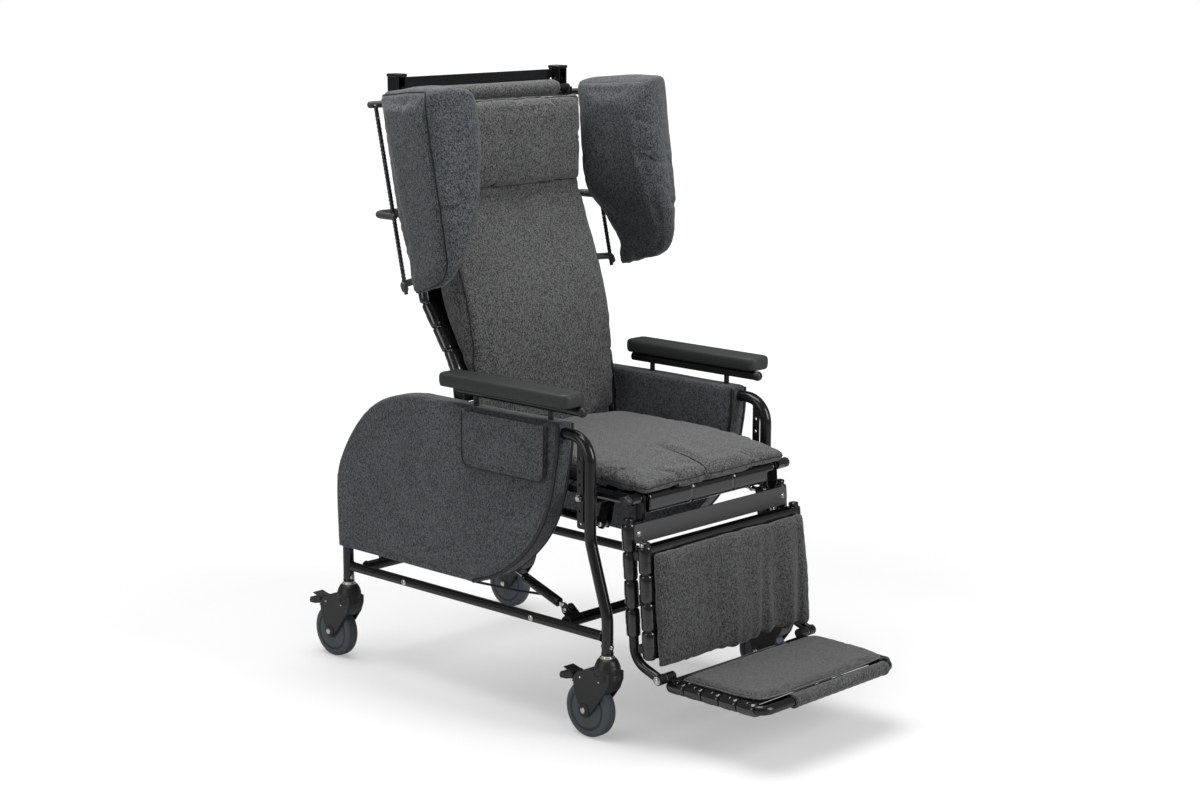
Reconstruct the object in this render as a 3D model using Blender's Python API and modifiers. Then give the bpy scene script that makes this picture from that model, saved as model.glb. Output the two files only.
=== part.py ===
"""Tilting and reclining positioning chair on four total-lock casters.

Metres, +Z up. The sitter faces -Y and the sitter's right hand is at -X. Lengths along Y are measured
from the front end of the armrest tubes; the last step centres the chair's box over the origin. Each
moving body hangs on an empty that stands on its joint's axis.
"""
import math

import bmesh
import bpy
from mathutils import Matrix, Vector

# Clearances
GAP = 0.0003             # between pieces that touch
RUN = 0.0004             # round a pin or a rod that turns or slides

# Casters
WHEEL_R = 0.0625
WHEEL_W = 0.032
WHEEL_SIDES = 18
HUB_R = 0.0490
TRAIL = 0.048            # axle behind the swivel axis
AXLE_R = 0.0042
HOUSING_R = 0.029
HOUSING_TOP = 0.186
HOUSING_BASE = 0.137
STEM_R = 0.006
STEM_LENGTH = 0.028
WASHER_H = 0.004
FORK_WALL = 0.005
WHEEL_CLEAR = 0.0035     # between wheel and fork, round the rim
SIDE_CLEAR = 0.002       # between wheel and fork, at the sides
FORK_FRONT = ((-0.027, 0.158), (-0.027, 0.140), (-0.018, 0.118), (0.0285, 0.058))
FORK_REAR = ((0.0690, 0.080), (0.0800, 0.108), (0.0815, 0.130), (0.0720, 0.1420), (0.0500, 0.1520),
             (0.0290, 0.1600))
FORK_HUB_R = 0.0165
PEDAL_W = 0.036
PEDAL_REACH = 0.127      # tip of the pedal behind the swivel axis
PEDAL_AXIS = (0.0935, 0.1295)
PEDAL_NOSE_R = 0.0085
PEDAL_LUG_W = 0.012

# Base frame
SIDE_X = 0.288           # middle plane of each side frame
TUBE_R = 0.0127
FRONT_STEM_Y = -0.073
REAR_STEM_Y = 0.766
LEG_Y = -0.0225
ARM_RUN_Z = 0.652
KNEE_Z = 0.455           # where the rear post starts to lean forward
SHOULDER_Y = 0.605
LEG_BEND_Z = 0.432
FOOT_BEND_Z = 0.272
BIG_BEND = 0.10
FRONT_BEND = 0.055
LEG_BEND = 0.09
RAIL_R = 0.011
RAIL_Z = 0.2285
CROSS_R = 0.0125
CROSS_Z = 0.2325
FRONT_CROSS_Y = 0.060
REAR_CROSS_Y = 0.715

# Height bars with their row of holes
BAR_Y = 0.006
BAR_WIDTH = 0.018
BAR_THICK = 0.005
BAR_FOOT_Z = 0.452
HOLE_R = 0.0036
HOLE_PITCH = 0.0285
HOLES_BELOW = 2
HOLES_ABOVE = 3

# Side panels and pocket
PANEL_WALL = 0.008
PANEL_BOTTOM = 0.277
PANEL_FRONT_Y = 0.050
PANEL_FRONT_LEAN = 0.022
PANEL_RIM = 0.004        # broken edges of the panel
PANEL_SWEEP = ((0.098, 0.448), (0.130, 0.398), (0.178, 0.350), (0.238, 0.306), (0.318, 0.278))
PANEL_HOLLOW = ((0.762, 0.300), (0.762, 0.452), (0.604, 0.645), (0.080, 0.645), (0.095, 0.515),
                (0.150, 0.410),
                (0.245, 0.330), (0.330, 0.300))
POCKET_DEPTH = 0.0115
POCKET_WALL = 0.0025
POCKET_REAR_Y = 0.340
POCKET_FRONT_Y = 0.082
POCKET_BOTTOM = 0.541
POCKET_TOP = 0.668

# Armrests
ARM_X = 0.287
ARM_R = 0.0105
ARM_Z = 0.704
ARM_FRONT_Y = -0.006
ARM_REAR_Y = 0.385
ARM_POSTS_Y = (0.095, 0.325)
POST_R = 0.006
PAD_X = 0.303
PAD_WIDTH = 0.068
PAD_FRONT_Y = 0.004
PAD_REAR_Y = 0.402
PAD_THICK = 0.031
PAD_CORNER = 0.018
PAD_SECTION = ((0.0, 0.003), (0.006, 0.0), (0.023, 0.0), (0.0288, 0.0028),
               (PAD_THICK, 0.009))  # height, inset

# Pivots, each as (y, z)
TILT = (BAR_Y, 0.519)
RECLINE = (0.405, 0.5235)
KNEE = (-0.100, 0.524)
FOOT_HINGE = (-0.190, 0.153)
LEG_SLOPE = math.radians(4.0)

# Seat frame
SEAT_X = 0.240           # middle of each seat rail
SEAT_R = 0.0115
SEAT_Z = 0.5235
SEAT_FRONT_TUBE_Y = -0.050
UNDER_Z = 0.4965         # cross tube below the straps that carries two spring brackets
UNDER_Y = 0.185
UNDER_R = 0.009
STUB_Y = 0.034           # short tube from the right rail that carries the recline spring
STRAP_WALL = 0.003
STRAP_WIDTH = 0.057
STRAP_PITCH = 0.061
SEAT_STRAPS = 6
SEAT_STRAP_START = 0.012
KNOB_R = 0.0115
KNOB_BOLT_R = 0.0040
RAIL_REAR_SHORT = 0.015  # seat rail ends this far before the recline pivot
EYE_REACH = 0.0075       # where a rail starts, measured from the middle of its pivot eye
HINGE_PLATE_X = 0.2175
PLATE_T = 0.005
EAR_T = 0.004
EAR_R = 0.012
EAR_PLAY = 0.0005        # between an ear and the spring eye

# Seat cushion and the strap roll under its front edge
CUSHION_HALF = 0.236
CUSHION_FRONT_Y = -0.134
CUSHION_REAR_Y = 0.380
CUSHION_EDGE = 0.026
CUSHION_CROWN = 0.026
CUSHION_DROP = 0.012     # how far the front edge falls
SLIT_X = -0.036
SLIT_WIDTH = 0.003
SLIT_LENGTH = 0.140
ROLL_HALF = 0.205
ROLL_HALF_DEPTH = 0.0118
ROLL_HALF_HEIGHT = 0.0105
ROLL_Y = -0.105
ROLL_Z = 0.5125
ROLL_HANGERS = (-0.150, 0.0, 0.150)
ROLL_NOTCH_X = 0.182     # from here outwards the underside is cut away over the legrest spring
ROLL_NOTCH_Z = 0.517

# Back frame
BACK_X = 0.240
BACK_R = 0.011
BACK_LOW = (0.436, 0.735)
BACK_HIGH = (0.545, 0.890)
BACK_TOP = (0.560, 1.335)
BACK_BEND = 0.12
BACK_CROSS_Z = 0.5575
BACK_STRAPS = 12
BACK_STRAP_START = 0.078
WING_RAIL_X = 0.331
WING_RAIL_R = 0.0045
WING_RAIL_LOW = (0.5000, 0.9055)
WING_RAIL_HIGH = (0.5921, 1.3133)
CARRIER_R = 0.008
CARRIER_LOW_Z = 0.928
CARRIER_LOW_END = 0.345
CARRIER_MID_Z = 1.075
CARRIER_MID_REAR = 0.606  # the middle carrier bows out behind the back
CARRIER_MID_BEND = 0.030
CARRIER_TOP_Z = 1.318
CARRIER_TOP_Y = 0.604
CARRIER_END = 0.337
WING_BOSS_X = 0.300
WING_BOSSES = ((CARRIER_MID_Z, 0.5199), (CARRIER_TOP_Z, 0.5628))
TOP_ROLL_R = 0.019
TOP_ROLL_HALF = 0.205

# Push bar
PUSH_Y = 0.613
PUSH_T = 0.006
PUSH_LOW = 1.330
PUSH_HIGH = 1.374
PUSH_REACH = 0.262       # end of the bar from the middle
SLAT_X = (0.244, 0.266)  # upright slats that carry the bar at each end
SLAT_T = 0.004
SLAT_FRONT = 0.014       # of the slats, before and behind the carrier
SLAT_REAR = 0.020
CAP_HIGH = 0.009         # top of the end caps over the bar
CAP_LOW = 0.002
CAP_LIP = 0.002          # round the slats

# Back upholstery
BACK_CUSHION_HALF = 0.234
BACK_CUSHION_CROWN = 0.014
BACK_CUSHION_FRONT = ((0.552, 0.386), (0.70, 0.386), (0.80, 0.393), (0.90, 0.413), (1.0, 0.452),
                      (1.085, 0.502),
                      (1.118, 0.5285), (1.32, 0.5275))
BACK_CUSHION_HEIGHTS = (0.552, 0.570, 0.66, 0.725, 0.80, 0.88, 1.085, 1.135, 1.296, 1.316)
BACK_CUSHION_SLACK = ((0.552, 0.0013), (0.66, 0.0033), (0.725, 0.0123), (0.80, 0.0083), (0.88, 0.0033),
                      (1.32, 0.0013))
BACK_CUSHION_FLAT_Z = 1.08  # above this the pillow lies on it and it has no crown
PILLOW_HALF = 0.219
PILLOW_LOW = 1.118
PILLOW_HIGH = 1.318
PILLOW_EDGE = 0.028
PILLOW_CROWN = 0.016
PILLOW_REAR = 0.5184

# Wing stations from the foot up: height, then the rear outer, front outer, front inner and rear inner
# corners as (x, y, rise)
WING_STATIONS = (
    (0.900, (0.338, 0.470, 0.000), (0.362, 0.383, 0.034), (0.344, 0.368, 0.026), (0.320, 0.460, 0.000)),
    (0.948, (0.339, 0.483, 0.000), (0.372, 0.340, 0.000), (0.343, 0.328, 0.000), (0.320, 0.470, 0.000)),
    (0.987, (0.340, 0.497, 0.000), (0.364, 0.320, 0.000), (0.330, 0.310, 0.000), (0.319, 0.480, 0.000)),
    (1.030, (0.340, 0.510, 0.000), (0.359, 0.318, 0.000), (0.318, 0.305, 0.000), (0.304, 0.497, 0.000)),
    (1.080, (0.340, 0.522, 0.000), (0.361, 0.323, 0.000), (0.300, 0.302, 0.000), (0.256, 0.520, 0.000)),
    (1.128, (0.340, 0.534, 0.000), (0.364, 0.330, 0.000), (0.282, 0.306, 0.000), (0.243, 0.526, 0.000)),
    (1.245, (0.340, 0.560, 0.000), (0.372, 0.350, 0.000), (0.262, 0.314, 0.000), (0.243, 0.528, 0.000)),
    (1.340, (0.340, 0.586, -0.004), (0.376, 0.362, 0.008), (0.266, 0.328, 0.006), (0.243, 0.530, -0.004)),
    (1.368, (0.339, 0.588, -0.016), (0.374, 0.368, 0.006), (0.272, 0.336, 0.000), (0.246, 0.531, -0.014)),
)

# Legrest, measured down the columns and forward from the knee pivot
COLUMN_X = 0.250
COLUMN_R = 0.0105
WRAP_R = 0.0135
REAR_COLUMN_F = -0.007
FRONT_COLUMN_F = 0.034
COLUMN_TOP = 0.042
FOOT_CURVE_S = 0.345     # corner where the column turns forward to the foot hinge
FRONT_TOP = 0.089
FRONT_BOTTOM = 0.338
WRAP_PITCH = 0.061
WRAP_WIDTH = 0.057
COLUMN_WRAP = 0.240
LEG_CROSS_R = 0.008
LEG_CROSS_S = 0.112
PLATE_TOP_S = 0.051
PLATE_LOW_S = 0.092
CALF_LUGS_S = (0.108, 0.308)
CALF_LUG_HEIGHT = 0.018
PLATE_HALF = 0.2516
PLATE_CORNER = 0.010
PLATE_THICK = 0.004
HINGE_PLATE_OUTLINE = ((0.0125, -0.076), (0.0130, 0.003), (0.0090, 0.0100), (-0.0090, 0.0100),
                       (-0.0130, 0.003),
                       (-0.0130, -0.038), (-0.0058, -0.048), (-0.0058, -0.076))
CALF_HALF = 0.247
CALF_TOP_S = 0.104
CALF_LOW_S = 0.357
CALF_RIM = 0.010         # width of the tight edge round the pad
CALF_THICK = 0.020
CALF_CROWN = 0.006

# Footrest, measured from its hinge
FOOT_X = 0.220
FOOT_RAIL_Z = -0.019
FOOT_REACH = 0.253
FOOT_REAR = 0.001        # rear ends of the side rails behind the hinge
FOOT_CORNER = 0.021
FOOT_STRAPS = 5
FOOT_STRAP_START = 0.002
FOOT_STRAP_WIDTH = 0.0455
FOOT_STRAP_PITCH = 0.0478
FOOT_WRAP_R = 0.0127
FOOT_PAD_HALF = 0.203
FOOT_PAD_START = 0.030
FOOT_PAD_THICK = 0.0115
FOOT_PAD_RIM = 0.010
FOOT_PAD_SETBACK = 0.013 # front edge behind the middle of the front tube
FOOT_PAD_CORNER = 0.050  # front corners in plan
SLEEVE_R = 0.0150
SLEEVE_RIGHT = -0.125
SLEEVE_LEFT = 0.192

# Gas springs: base pin and moving pin as (y, z), with the side that they lie on
EYE_R = 0.009
EYE_W = 0.012
PIN_R = 0.0035
ROD_R = 0.004
CYLINDER_R = 0.011
TILT_SPRING = {"x": -0.244, "fixed": (0.085, 0.250), "moving": (0.360, 0.345), "shortest": 0.1948,
               "barrel": 0.130, "rod": 0.165}
RECLINE_SPRING = {"x": -0.170, "fixed": (0.050, 0.435), "moving": (0.420, 0.447), "shortest": 0.2986,
                  "barrel": 0.160, "rod": 0.215}
LEG_SPRING = {"x": 0.190, "fixed": (0.160, 0.480), "moving": (-0.095, 0.470), "shortest": 0.2552,
              "barrel": 0.115, "rod": 0.205}

# Release cable and lever
CABLE_R = 0.0030
CABLE_X = -0.222
CABLE_ROUTE = ((0.0723, 0.234), (0.160, 0.262), (0.260, 0.252), (0.400, 0.246), (0.540, 0.252),
               (0.655, 0.270),
               (0.7171, 0.268))
LEVER_AXIS = (0.730, 0.272)
LEVER_REACH = 0.085

RIGHT = -1
LEFT = 1
SIDES = {"right": RIGHT, "left": LEFT}


# General shapes

def clear_scene():
    for item in list(bpy.data.objects):
        bpy.data.objects.remove(item, do_unlink=True)


def material(name, colour, roughness, metallic=0.0):
    made = bpy.data.materials.new(name)
    made.use_nodes = True
    shader = made.node_tree.nodes["Principled BSDF"]
    shader.inputs["Base Color"].default_value = (*colour, 1.0)
    shader.inputs["Roughness"].default_value = roughness
    shader.inputs["Metallic"].default_value = metallic
    made.diffuse_color = (*colour, 1.0)
    return made


def plain(item):
    """The evaluated mesh of an object, which is then removed."""
    bpy.context.view_layer.update()
    graph = bpy.context.evaluated_depsgraph_get()
    mesh = bpy.data.meshes.new_from_object(item.evaluated_get(graph))
    mesh.transform(item.matrix_world)
    bpy.data.objects.remove(item, do_unlink=True)
    work = bmesh.new()
    work.from_mesh(mesh)
    bmesh.ops.remove_doubles(work, verts=work.verts, dist=1e-6)
    bmesh.ops.recalc_face_normals(work, faces=work.faces)
    work.to_mesh(mesh)
    work.free()
    return mesh


def scratch(mesh):
    item = bpy.data.objects.new("scratch", mesh)
    bpy.context.scene.collection.objects.link(item)
    return item


def from_work(work):
    mesh = bpy.data.meshes.new("solid")
    bmesh.ops.recalc_face_normals(work, faces=work.faces)
    work.to_mesh(mesh)
    work.free()
    return mesh


def combine(parts, cuts=()):
    """One solid: all the parts joined, less all the cuts."""
    base = scratch(parts[0].copy())
    tools = []
    for operation, meshes in (("UNION", parts[1:]), ("DIFFERENCE", cuts)):
        for mesh in meshes:
            tool = scratch(mesh)
            tool.hide_render = True
            tool.display_type = "WIRE"
            step = base.modifiers.new(operation.title(), "BOOLEAN")
            step.operation = operation
            step.object = tool
            step.solver = "EXACT"
            tools.append(tool)
    mesh = plain(base)
    for tool in tools:
        bpy.data.objects.remove(tool, do_unlink=True)
    work = bmesh.new()
    work.from_mesh(mesh)
    bmesh.ops.dissolve_degenerate(work, dist=1e-6, edges=work.edges)
    bmesh.ops.dissolve_limit(work, angle_limit=math.radians(0.05), verts=work.verts, edges=work.edges)
    loose = [edge for edge in work.edges if not edge.link_faces]
    bmesh.ops.delete(work, geom=loose, context="EDGES")
    loose = [vert for vert in work.verts if not vert.link_edges]
    bmesh.ops.delete(work, geom=loose, context="VERTS")
    work.to_mesh(mesh)
    work.free()
    return mesh


def bent(points, radii, step=math.radians(31)):
    """Points of a path whose inner corners are rounded to the radii."""
    points = [Vector(p) for p in points]
    path = [points[0]]
    for before, corner, after, radius in zip(points, points[1:], points[2:], radii):
        back = (before - corner).normalized()
        ahead = (after - corner).normalized()
        turn = math.pi - back.angle(ahead)
        if turn < 1e-3 or radius <= 0:
            path.append(corner)
            continue
        reach = radius * math.tan(turn / 2)
        centre = corner + (back + ahead).normalized() * radius / math.cos(turn / 2)
        start = corner + back * reach - centre
        end = corner + ahead * reach - centre
        axis = start.cross(end).normalized()
        count = max(1, math.ceil(turn / step))
        for k in range(count + 1):
            path.append(centre + Matrix.Rotation(turn * k / count, 3, axis) @ start)
    path.append(points[-1])
    return path


def tube(path, radius, sides=10):
    curve = bpy.data.curves.new("path", "CURVE")
    curve.dimensions = "3D"
    curve.bevel_depth = radius
    curve.bevel_resolution = (sides - 4) // 2
    curve.use_fill_caps = True
    spline = curve.splines.new("POLY")
    spline.points.add(len(path) - 1)
    for point, place in zip(spline.points, path):
        point.co = (*place, 1.0)
    return plain(scratch(curve))


def flat_path(x, pairs):
    return [Vector((x, y, z)) for y, z in pairs]


def rod(start, end, radius, sides=None, end_radius=None):
    """A round bar between two points, tapered if a second radius is given."""
    sides = sides or (8 if radius < 0.0068 else 10)
    start, end = Vector(start), Vector(end)
    length = (end - start).length
    turn = (end - start).to_track_quat("Z", "Y").to_matrix().to_4x4()
    place = Matrix.Translation((start + end) / 2) @ turn @ Matrix.Rotation(math.pi / sides, 4, "Z")
    work = bmesh.new()
    last = radius if end_radius is None else end_radius
    bmesh.ops.create_cone(work, cap_ends=True, segments=sides, radius1=radius, radius2=last, depth=length,
                          matrix=place)
    return from_work(work)


def across(x0, x1, y, z, radius, sides=None, end_radius=None):
    return rod((x0, y, z), (x1, y, z), radius, sides, end_radius)


def block(x, y, z, edge=0.0):
    """A box given by its three ranges, with broken edges if asked."""
    work = bmesh.new()
    bmesh.ops.create_cube(work, size=1.0)
    for vert in work.verts:
        for axis, span in enumerate((x, y, z)):
            vert.co[axis] = max(span) if vert.co[axis] > 0 else min(span)
    if edge:
        bmesh.ops.bevel(work, geom=list(work.edges), offset=edge, segments=1, affect="EDGES")
    return from_work(work)


def ring_points(y, z, radius, count=12, start=0.0, sweep=2 * math.pi):
    """Points round a centre in the side view, anticlockwise from the start angle."""
    last = count if abs(sweep - 2 * math.pi) < 1e-6 else count - 1
    angles = (start + sweep * k / last for k in range(count))
    return [(y + radius * math.cos(a), z + radius * math.sin(a)) for a in angles]


def slab(outline, x0, x1, edge=0.0):
    """A plate: an outline in the side view, carried from x0 to x1."""
    work = bmesh.new()
    verts = [work.verts.new((min(x0, x1), y, z)) for y, z in outline]
    face = work.faces.new(verts)
    grown = bmesh.ops.extrude_face_region(work, geom=[face])
    moved = [item for item in grown["geom"] if isinstance(item, bmesh.types.BMVert)]
    bmesh.ops.translate(work, verts=moved, vec=(abs(x1 - x0), 0, 0))
    if edge:
        rims = [e for e in work.edges if abs(e.verts[0].co.x - e.verts[1].co.x) < 1e-9]
        bmesh.ops.bevel(work, geom=rims, offset=edge, segments=1, affect="EDGES")
    return from_work(work)


def hull(points):
    work = bmesh.new()
    verts = [work.verts.new(p) for p in points]
    made = bmesh.ops.convex_hull(work, input=verts)
    spare = [v for v in made["geom_interior"] if isinstance(v, bmesh.types.BMVert)]
    spare += [v for v in made["geom_unused"] if isinstance(v, bmesh.types.BMVert)]
    bmesh.ops.delete(work, geom=list(set(spare)), context="VERTS")
    bmesh.ops.dissolve_limit(work, angle_limit=math.radians(0.5), verts=work.verts, edges=work.edges)
    return from_work(work)


def link(first, r1, second, r2, x0, x1, count=8):
    """A plate with round ends about two centres in the side view."""
    rim = ring_points(*first, r1, count) + ring_points(*second, r2, count)
    return hull([(x, y, z) for x in (x0, x1) for y, z in rim])


def lathe(profile, sides=24):
    """A body turned about the Z axis; the profile is (radius, height), closed on itself or on the axis."""
    mesh = bpy.data.meshes.new("profile")
    count = len(profile)
    closed = min(r for r, _ in profile) > 1e-6
    edges = [(k, k + 1) for k in range(count - 1)]
    if closed:
        edges.append((count - 1, 0))
    mesh.from_pydata([(r, 0.0, h) for r, h in profile], edges, [])
    item = scratch(mesh)
    turn = item.modifiers.new("Turn", "SCREW")
    turn.axis = "Z"
    turn.steps = sides
    turn.render_steps = sides
    turn.use_merge_vertices = True
    turn.merge_threshold = 0.00005
    return plain(item)


def about_x(mesh, centre, flip=False):
    """Lay a turned body along X with its foot at the centre; its top points to +X, or to -X if flipped."""
    turned = mesh.copy()
    turned.transform(Matrix.Translation(centre) @ Matrix.Rotation(math.radians(-90 if flip else 90), 4,
                                                                  "Y"))
    return turned


def cage(us, vs, place_top, place_base, levels=1):
    """A soft body: a grid of top points over a grid of base points, rounded by subdivision."""
    work = bmesh.new()
    top = [[work.verts.new(place_top(u, v)) for v in vs] for u in us]
    base = [[work.verts.new(place_base(u, v)) for v in vs] for u in us]
    rows, cols = len(us), len(vs)
    for i in range(rows - 1):
        for j in range(cols - 1):
            work.faces.new((top[i][j], top[i + 1][j], top[i + 1][j + 1], top[i][j + 1]))
            work.faces.new((base[i][j], base[i][j + 1], base[i + 1][j + 1], base[i + 1][j]))
    rim = [(i, 0) for i in range(rows)] + [(rows - 1, j) for j in range(1, cols)]
    rim += [(i, cols - 1) for i in range(rows - 2, -1, -1)] + [(0, j) for j in range(cols - 2, 0, -1)]
    for (a, b), (c, d) in zip(rim, rim[1:] + rim[:1]):
        work.faces.new((base[a][b], base[c][d], top[c][d], top[a][b]))
    item = scratch(from_work(work))
    soft = item.modifiers.new("Soft", "SUBSURF")
    soft.levels = levels
    soft.render_levels = levels
    return plain(item)


def grid_lines(low, high, edge, middle):
    """Lines of a cage: one near each end and an even spread between."""
    inner = [low + edge + (high - low - 2 * edge) * k / (middle + 1) for k in range(middle + 2)]
    return [low] + inner + [high]


def lerp(table, at):
    """Straight-line reading of a table of (position, value)."""
    for (a, va), (b, vb) in zip(table, table[1:]):
        if at <= b or (b, vb) == table[-1]:
            share = (at - a) / (b - a)
            return va + (vb - va) * share
    return table[-1][1]


def strap_loop(half, outer_r, rail_r, width, turn, place, ends=4):
    """A strap that goes round two rails and holds them, with the open space between the rails inside it."""
    work = bmesh.new()
    outer = []
    for centre, start in ((half, -math.pi / 2), (-half, math.pi / 2)):
        for k in range(ends):
            angle = start + math.pi * k / (ends - 1)
            outer.append((centre + outer_r * math.cos(angle), outer_r * math.sin(angle)))
    reach, room = half - rail_r * 1.02, rail_r * 0.80
    window = [(reach, -room), (reach, room), (-reach, room), (-reach, -room)]
    layers = []
    for rim in (outer, window):
        for side in (-width / 2, width / 2):
            layers.append([work.verts.new((a, side, b)) for a, b in rim])
    outer0, outer1, inner0, inner1 = layers
    for rim0, rim1, flip in ((outer0, outer1, False), (inner0, inner1, True)):
        for k in range(len(rim0)):
            n = (k + 1) % len(rim0)
            loop = (rim0[k], rim0[n], rim1[n], rim1[k])
            work.faces.new(loop[::-1] if flip else loop)
    for rim, hole in ((outer0, inner0), (outer1, inner1)):
        work.faces.new((*rim[:ends], hole[1], hole[0]))
        work.faces.new((*rim[ends:], hole[3], hole[2]))
        work.faces.new((rim[ends - 1], rim[ends], hole[2], hole[1]))
        work.faces.new((rim[-1], rim[0], hole[0], hole[3]))
    mesh = from_work(work)
    mesh.transform(Matrix.Translation(place) @ Matrix.Rotation(turn, 4, "X"))
    return mesh


def along(path_pairs, distance):
    """Point and slope on a side-view path at a distance from its start."""
    for (y0, z0), (y1, z1) in zip(path_pairs, path_pairs[1:]):
        step = math.hypot(y1 - y0, z1 - z0)
        if distance <= step:
            share = distance / step
            return (y0 + (y1 - y0) * share, z0 + (z1 - z0) * share), math.atan2(z1 - z0, y1 - y0)
        distance -= step
    return path_pairs[-1], math.atan2(z1 - z0, y1 - y0)


# Objects, bodies and finishes

PARTS = bpy.data.collections.new("Positioning chair")
ROOTS = []


def empty(name, place, parent=None, turn=None):
    item = bpy.data.objects.new(name, None)
    item.empty_display_size = 0.05
    PARTS.objects.link(item)
    item.location = place
    if turn is not None:
        item.rotation_euler = turn
    if parent is not None:
        bpy.context.view_layer.update()
        item.parent = parent
        item.matrix_parent_inverse = parent.matrix_world.inverted()
    else:
        ROOTS.append(item)
    return item


def piece(name, mesh, finish, parent=None, edge_angle=38):
    item = bpy.data.objects.new(name, mesh)
    mesh.name = name
    mesh.materials.clear()
    mesh.materials.append(finish)
    mesh.polygons.foreach_set("use_smooth", [True] * len(mesh.polygons))
    mesh.set_sharp_from_angle(angle=math.radians(edge_angle))
    PARTS.objects.link(item)
    if parent is not None:
        bpy.context.view_layer.update()
        item.parent = parent
        item.matrix_parent_inverse = parent.matrix_world.inverted()
    else:
        ROOTS.append(item)
    return item


def shifted(mesh, x=0.0, y=0.0, z=0.0):
    moved = mesh.copy()
    moved.transform(Matrix.Translation((x, y, z)))
    return moved


# Base frame

def arch_path(x):
    corners = [(REAR_STEM_Y, HOUSING_TOP + WASHER_H + GAP), (REAR_STEM_Y, KNEE_Z), (SHOULDER_Y, ARM_RUN_Z)]
    corners += [(LEG_Y, ARM_RUN_Z), (LEG_Y, LEG_BEND_Z), (FRONT_STEM_Y, FOOT_BEND_Z)]
    corners += [(FRONT_STEM_Y, HOUSING_TOP + WASHER_H + GAP)]
    radii = (BIG_BEND, BIG_BEND, FRONT_BEND, LEG_BEND, LEG_BEND)
    return bent(flat_path(x, corners), radii)


def stem_bore(x, y):
    foot = HOUSING_TOP - 0.01
    return rod((x, y, foot), (x, y, HOUSING_TOP + WASHER_H + STEM_LENGTH + 0.004), STEM_R + RUN, 14)


def side_frame(x):
    bores = [stem_bore(x, y) for y in (FRONT_STEM_Y, REAR_STEM_Y)]
    return combine([tube(arch_path(x), TUBE_R)], bores)


def lower_rail(x):
    start, end = FRONT_STEM_Y + TUBE_R + GAP, REAR_STEM_Y - TUBE_R - GAP
    return rod((x, start, RAIL_Z), (x, end, RAIL_Z), RAIL_R, 12)


def ears(x, pin, root, root_r, ear_r=EAR_R):
    """Two plates that stand either side of a spring eye."""
    offset = EYE_W / 2 + EAR_PLAY
    plates = []
    for side in (-1, 1):
        near = x + side * offset
        plates.append(link(pin, ear_r, root, root_r, near, near + side * EAR_T, 6))
    return plates


def fixed_pin(x, pin):
    reach = EYE_W / 2 + EAR_T - 0.0005
    return across(x - reach, x + reach, *pin, PIN_R)


def front_cross_tube():
    half = SIDE_X - RAIL_R - GAP
    body = across(-half, half, FRONT_CROSS_Y, CROSS_Z, CROSS_R)
    spring = TILT_SPRING
    plates = ears(spring["x"], spring["fixed"], (FRONT_CROSS_Y, CROSS_Z), 0.010)
    return combine([body, *plates, fixed_pin(spring["x"], spring["fixed"])])


def rear_cross_tube():
    half = SIDE_X - RAIL_R - GAP
    body = across(-half, half, REAR_CROSS_Y, CROSS_Z, CROSS_R)
    x = CABLE_X
    lug = link(LEVER_AXIS, 0.010, (REAR_CROSS_Y, CROSS_Z), 0.010, x - 0.004, x + 0.004)
    bore = across(x - 0.01, x + 0.01, *LEVER_AXIS, PIN_R + RUN)
    return combine([body, lug], [bore])


def height_bar(side):
    x0 = side * (SIDE_X - BAR_THICK / 2)
    x1 = side * (SIDE_X + BAR_THICK / 2)
    front, rear = BAR_Y - BAR_WIDTH / 2, BAR_Y + BAR_WIDTH / 2
    lug = LEG_Y + TUBE_R + GAP
    bend_y, bend_z = LEG_Y + FRONT_BEND, ARM_RUN_Z - FRONT_BEND
    reach = FRONT_BEND - TUBE_R - 0.0014
    outline = [(lug, BAR_FOOT_Z), (rear - 0.004, BAR_FOOT_Z), (rear, BAR_FOOT_Z + 0.004)]
    outline += [(y, bend_z + math.sqrt(reach ** 2 - (bend_y - y) ** 2)) for y in (rear, BAR_Y, front)]
    outline += [(front, BAR_FOOT_Z + 0.018), (lug, BAR_FOOT_Z + 0.013)]
    holes = []
    for k in range(-HOLES_BELOW, HOLES_ABOVE + 1):
        holes.append(across(x0 - side * 0.01, x1 + side * 0.01, BAR_Y, TILT[1] + k * HOLE_PITCH, HOLE_R, 8))
    return combine([slab(outline, x0, x1)], holes)


def panel_outline():
    rear = REAR_STEM_Y + TUBE_R + PANEL_WALL
    offset = TUBE_R + PANEL_WALL
    corners = [(REAR_STEM_Y, PANEL_BOTTOM), (REAR_STEM_Y, KNEE_Z), (SHOULDER_Y, ARM_RUN_Z)]
    path = bent([(0.0, *c) for c in corners + [(PANEL_FRONT_Y, ARM_RUN_Z)]], (BIG_BEND, BIG_BEND))
    outline = [(rear, PANEL_BOTTOM)]
    for before, here, after in zip(path, path[1:], path[2:]):
        slope = (after - before).normalized()
        outline.append((here.y + slope.z * offset, here.z - slope.y * offset))
    lift = 0.006
    outline.append((0.380, ARM_RUN_Z + offset + lift * 0.5))
    outline.append((PANEL_FRONT_Y, ARM_RUN_Z + offset - 0.002))
    outline.append((PANEL_FRONT_Y + 0.004, ARM_RUN_Z - TUBE_R - 0.020))
    outline.append((PANEL_FRONT_Y + PANEL_FRONT_LEAN, 0.520))
    return outline + list(PANEL_SWEEP)


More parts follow.
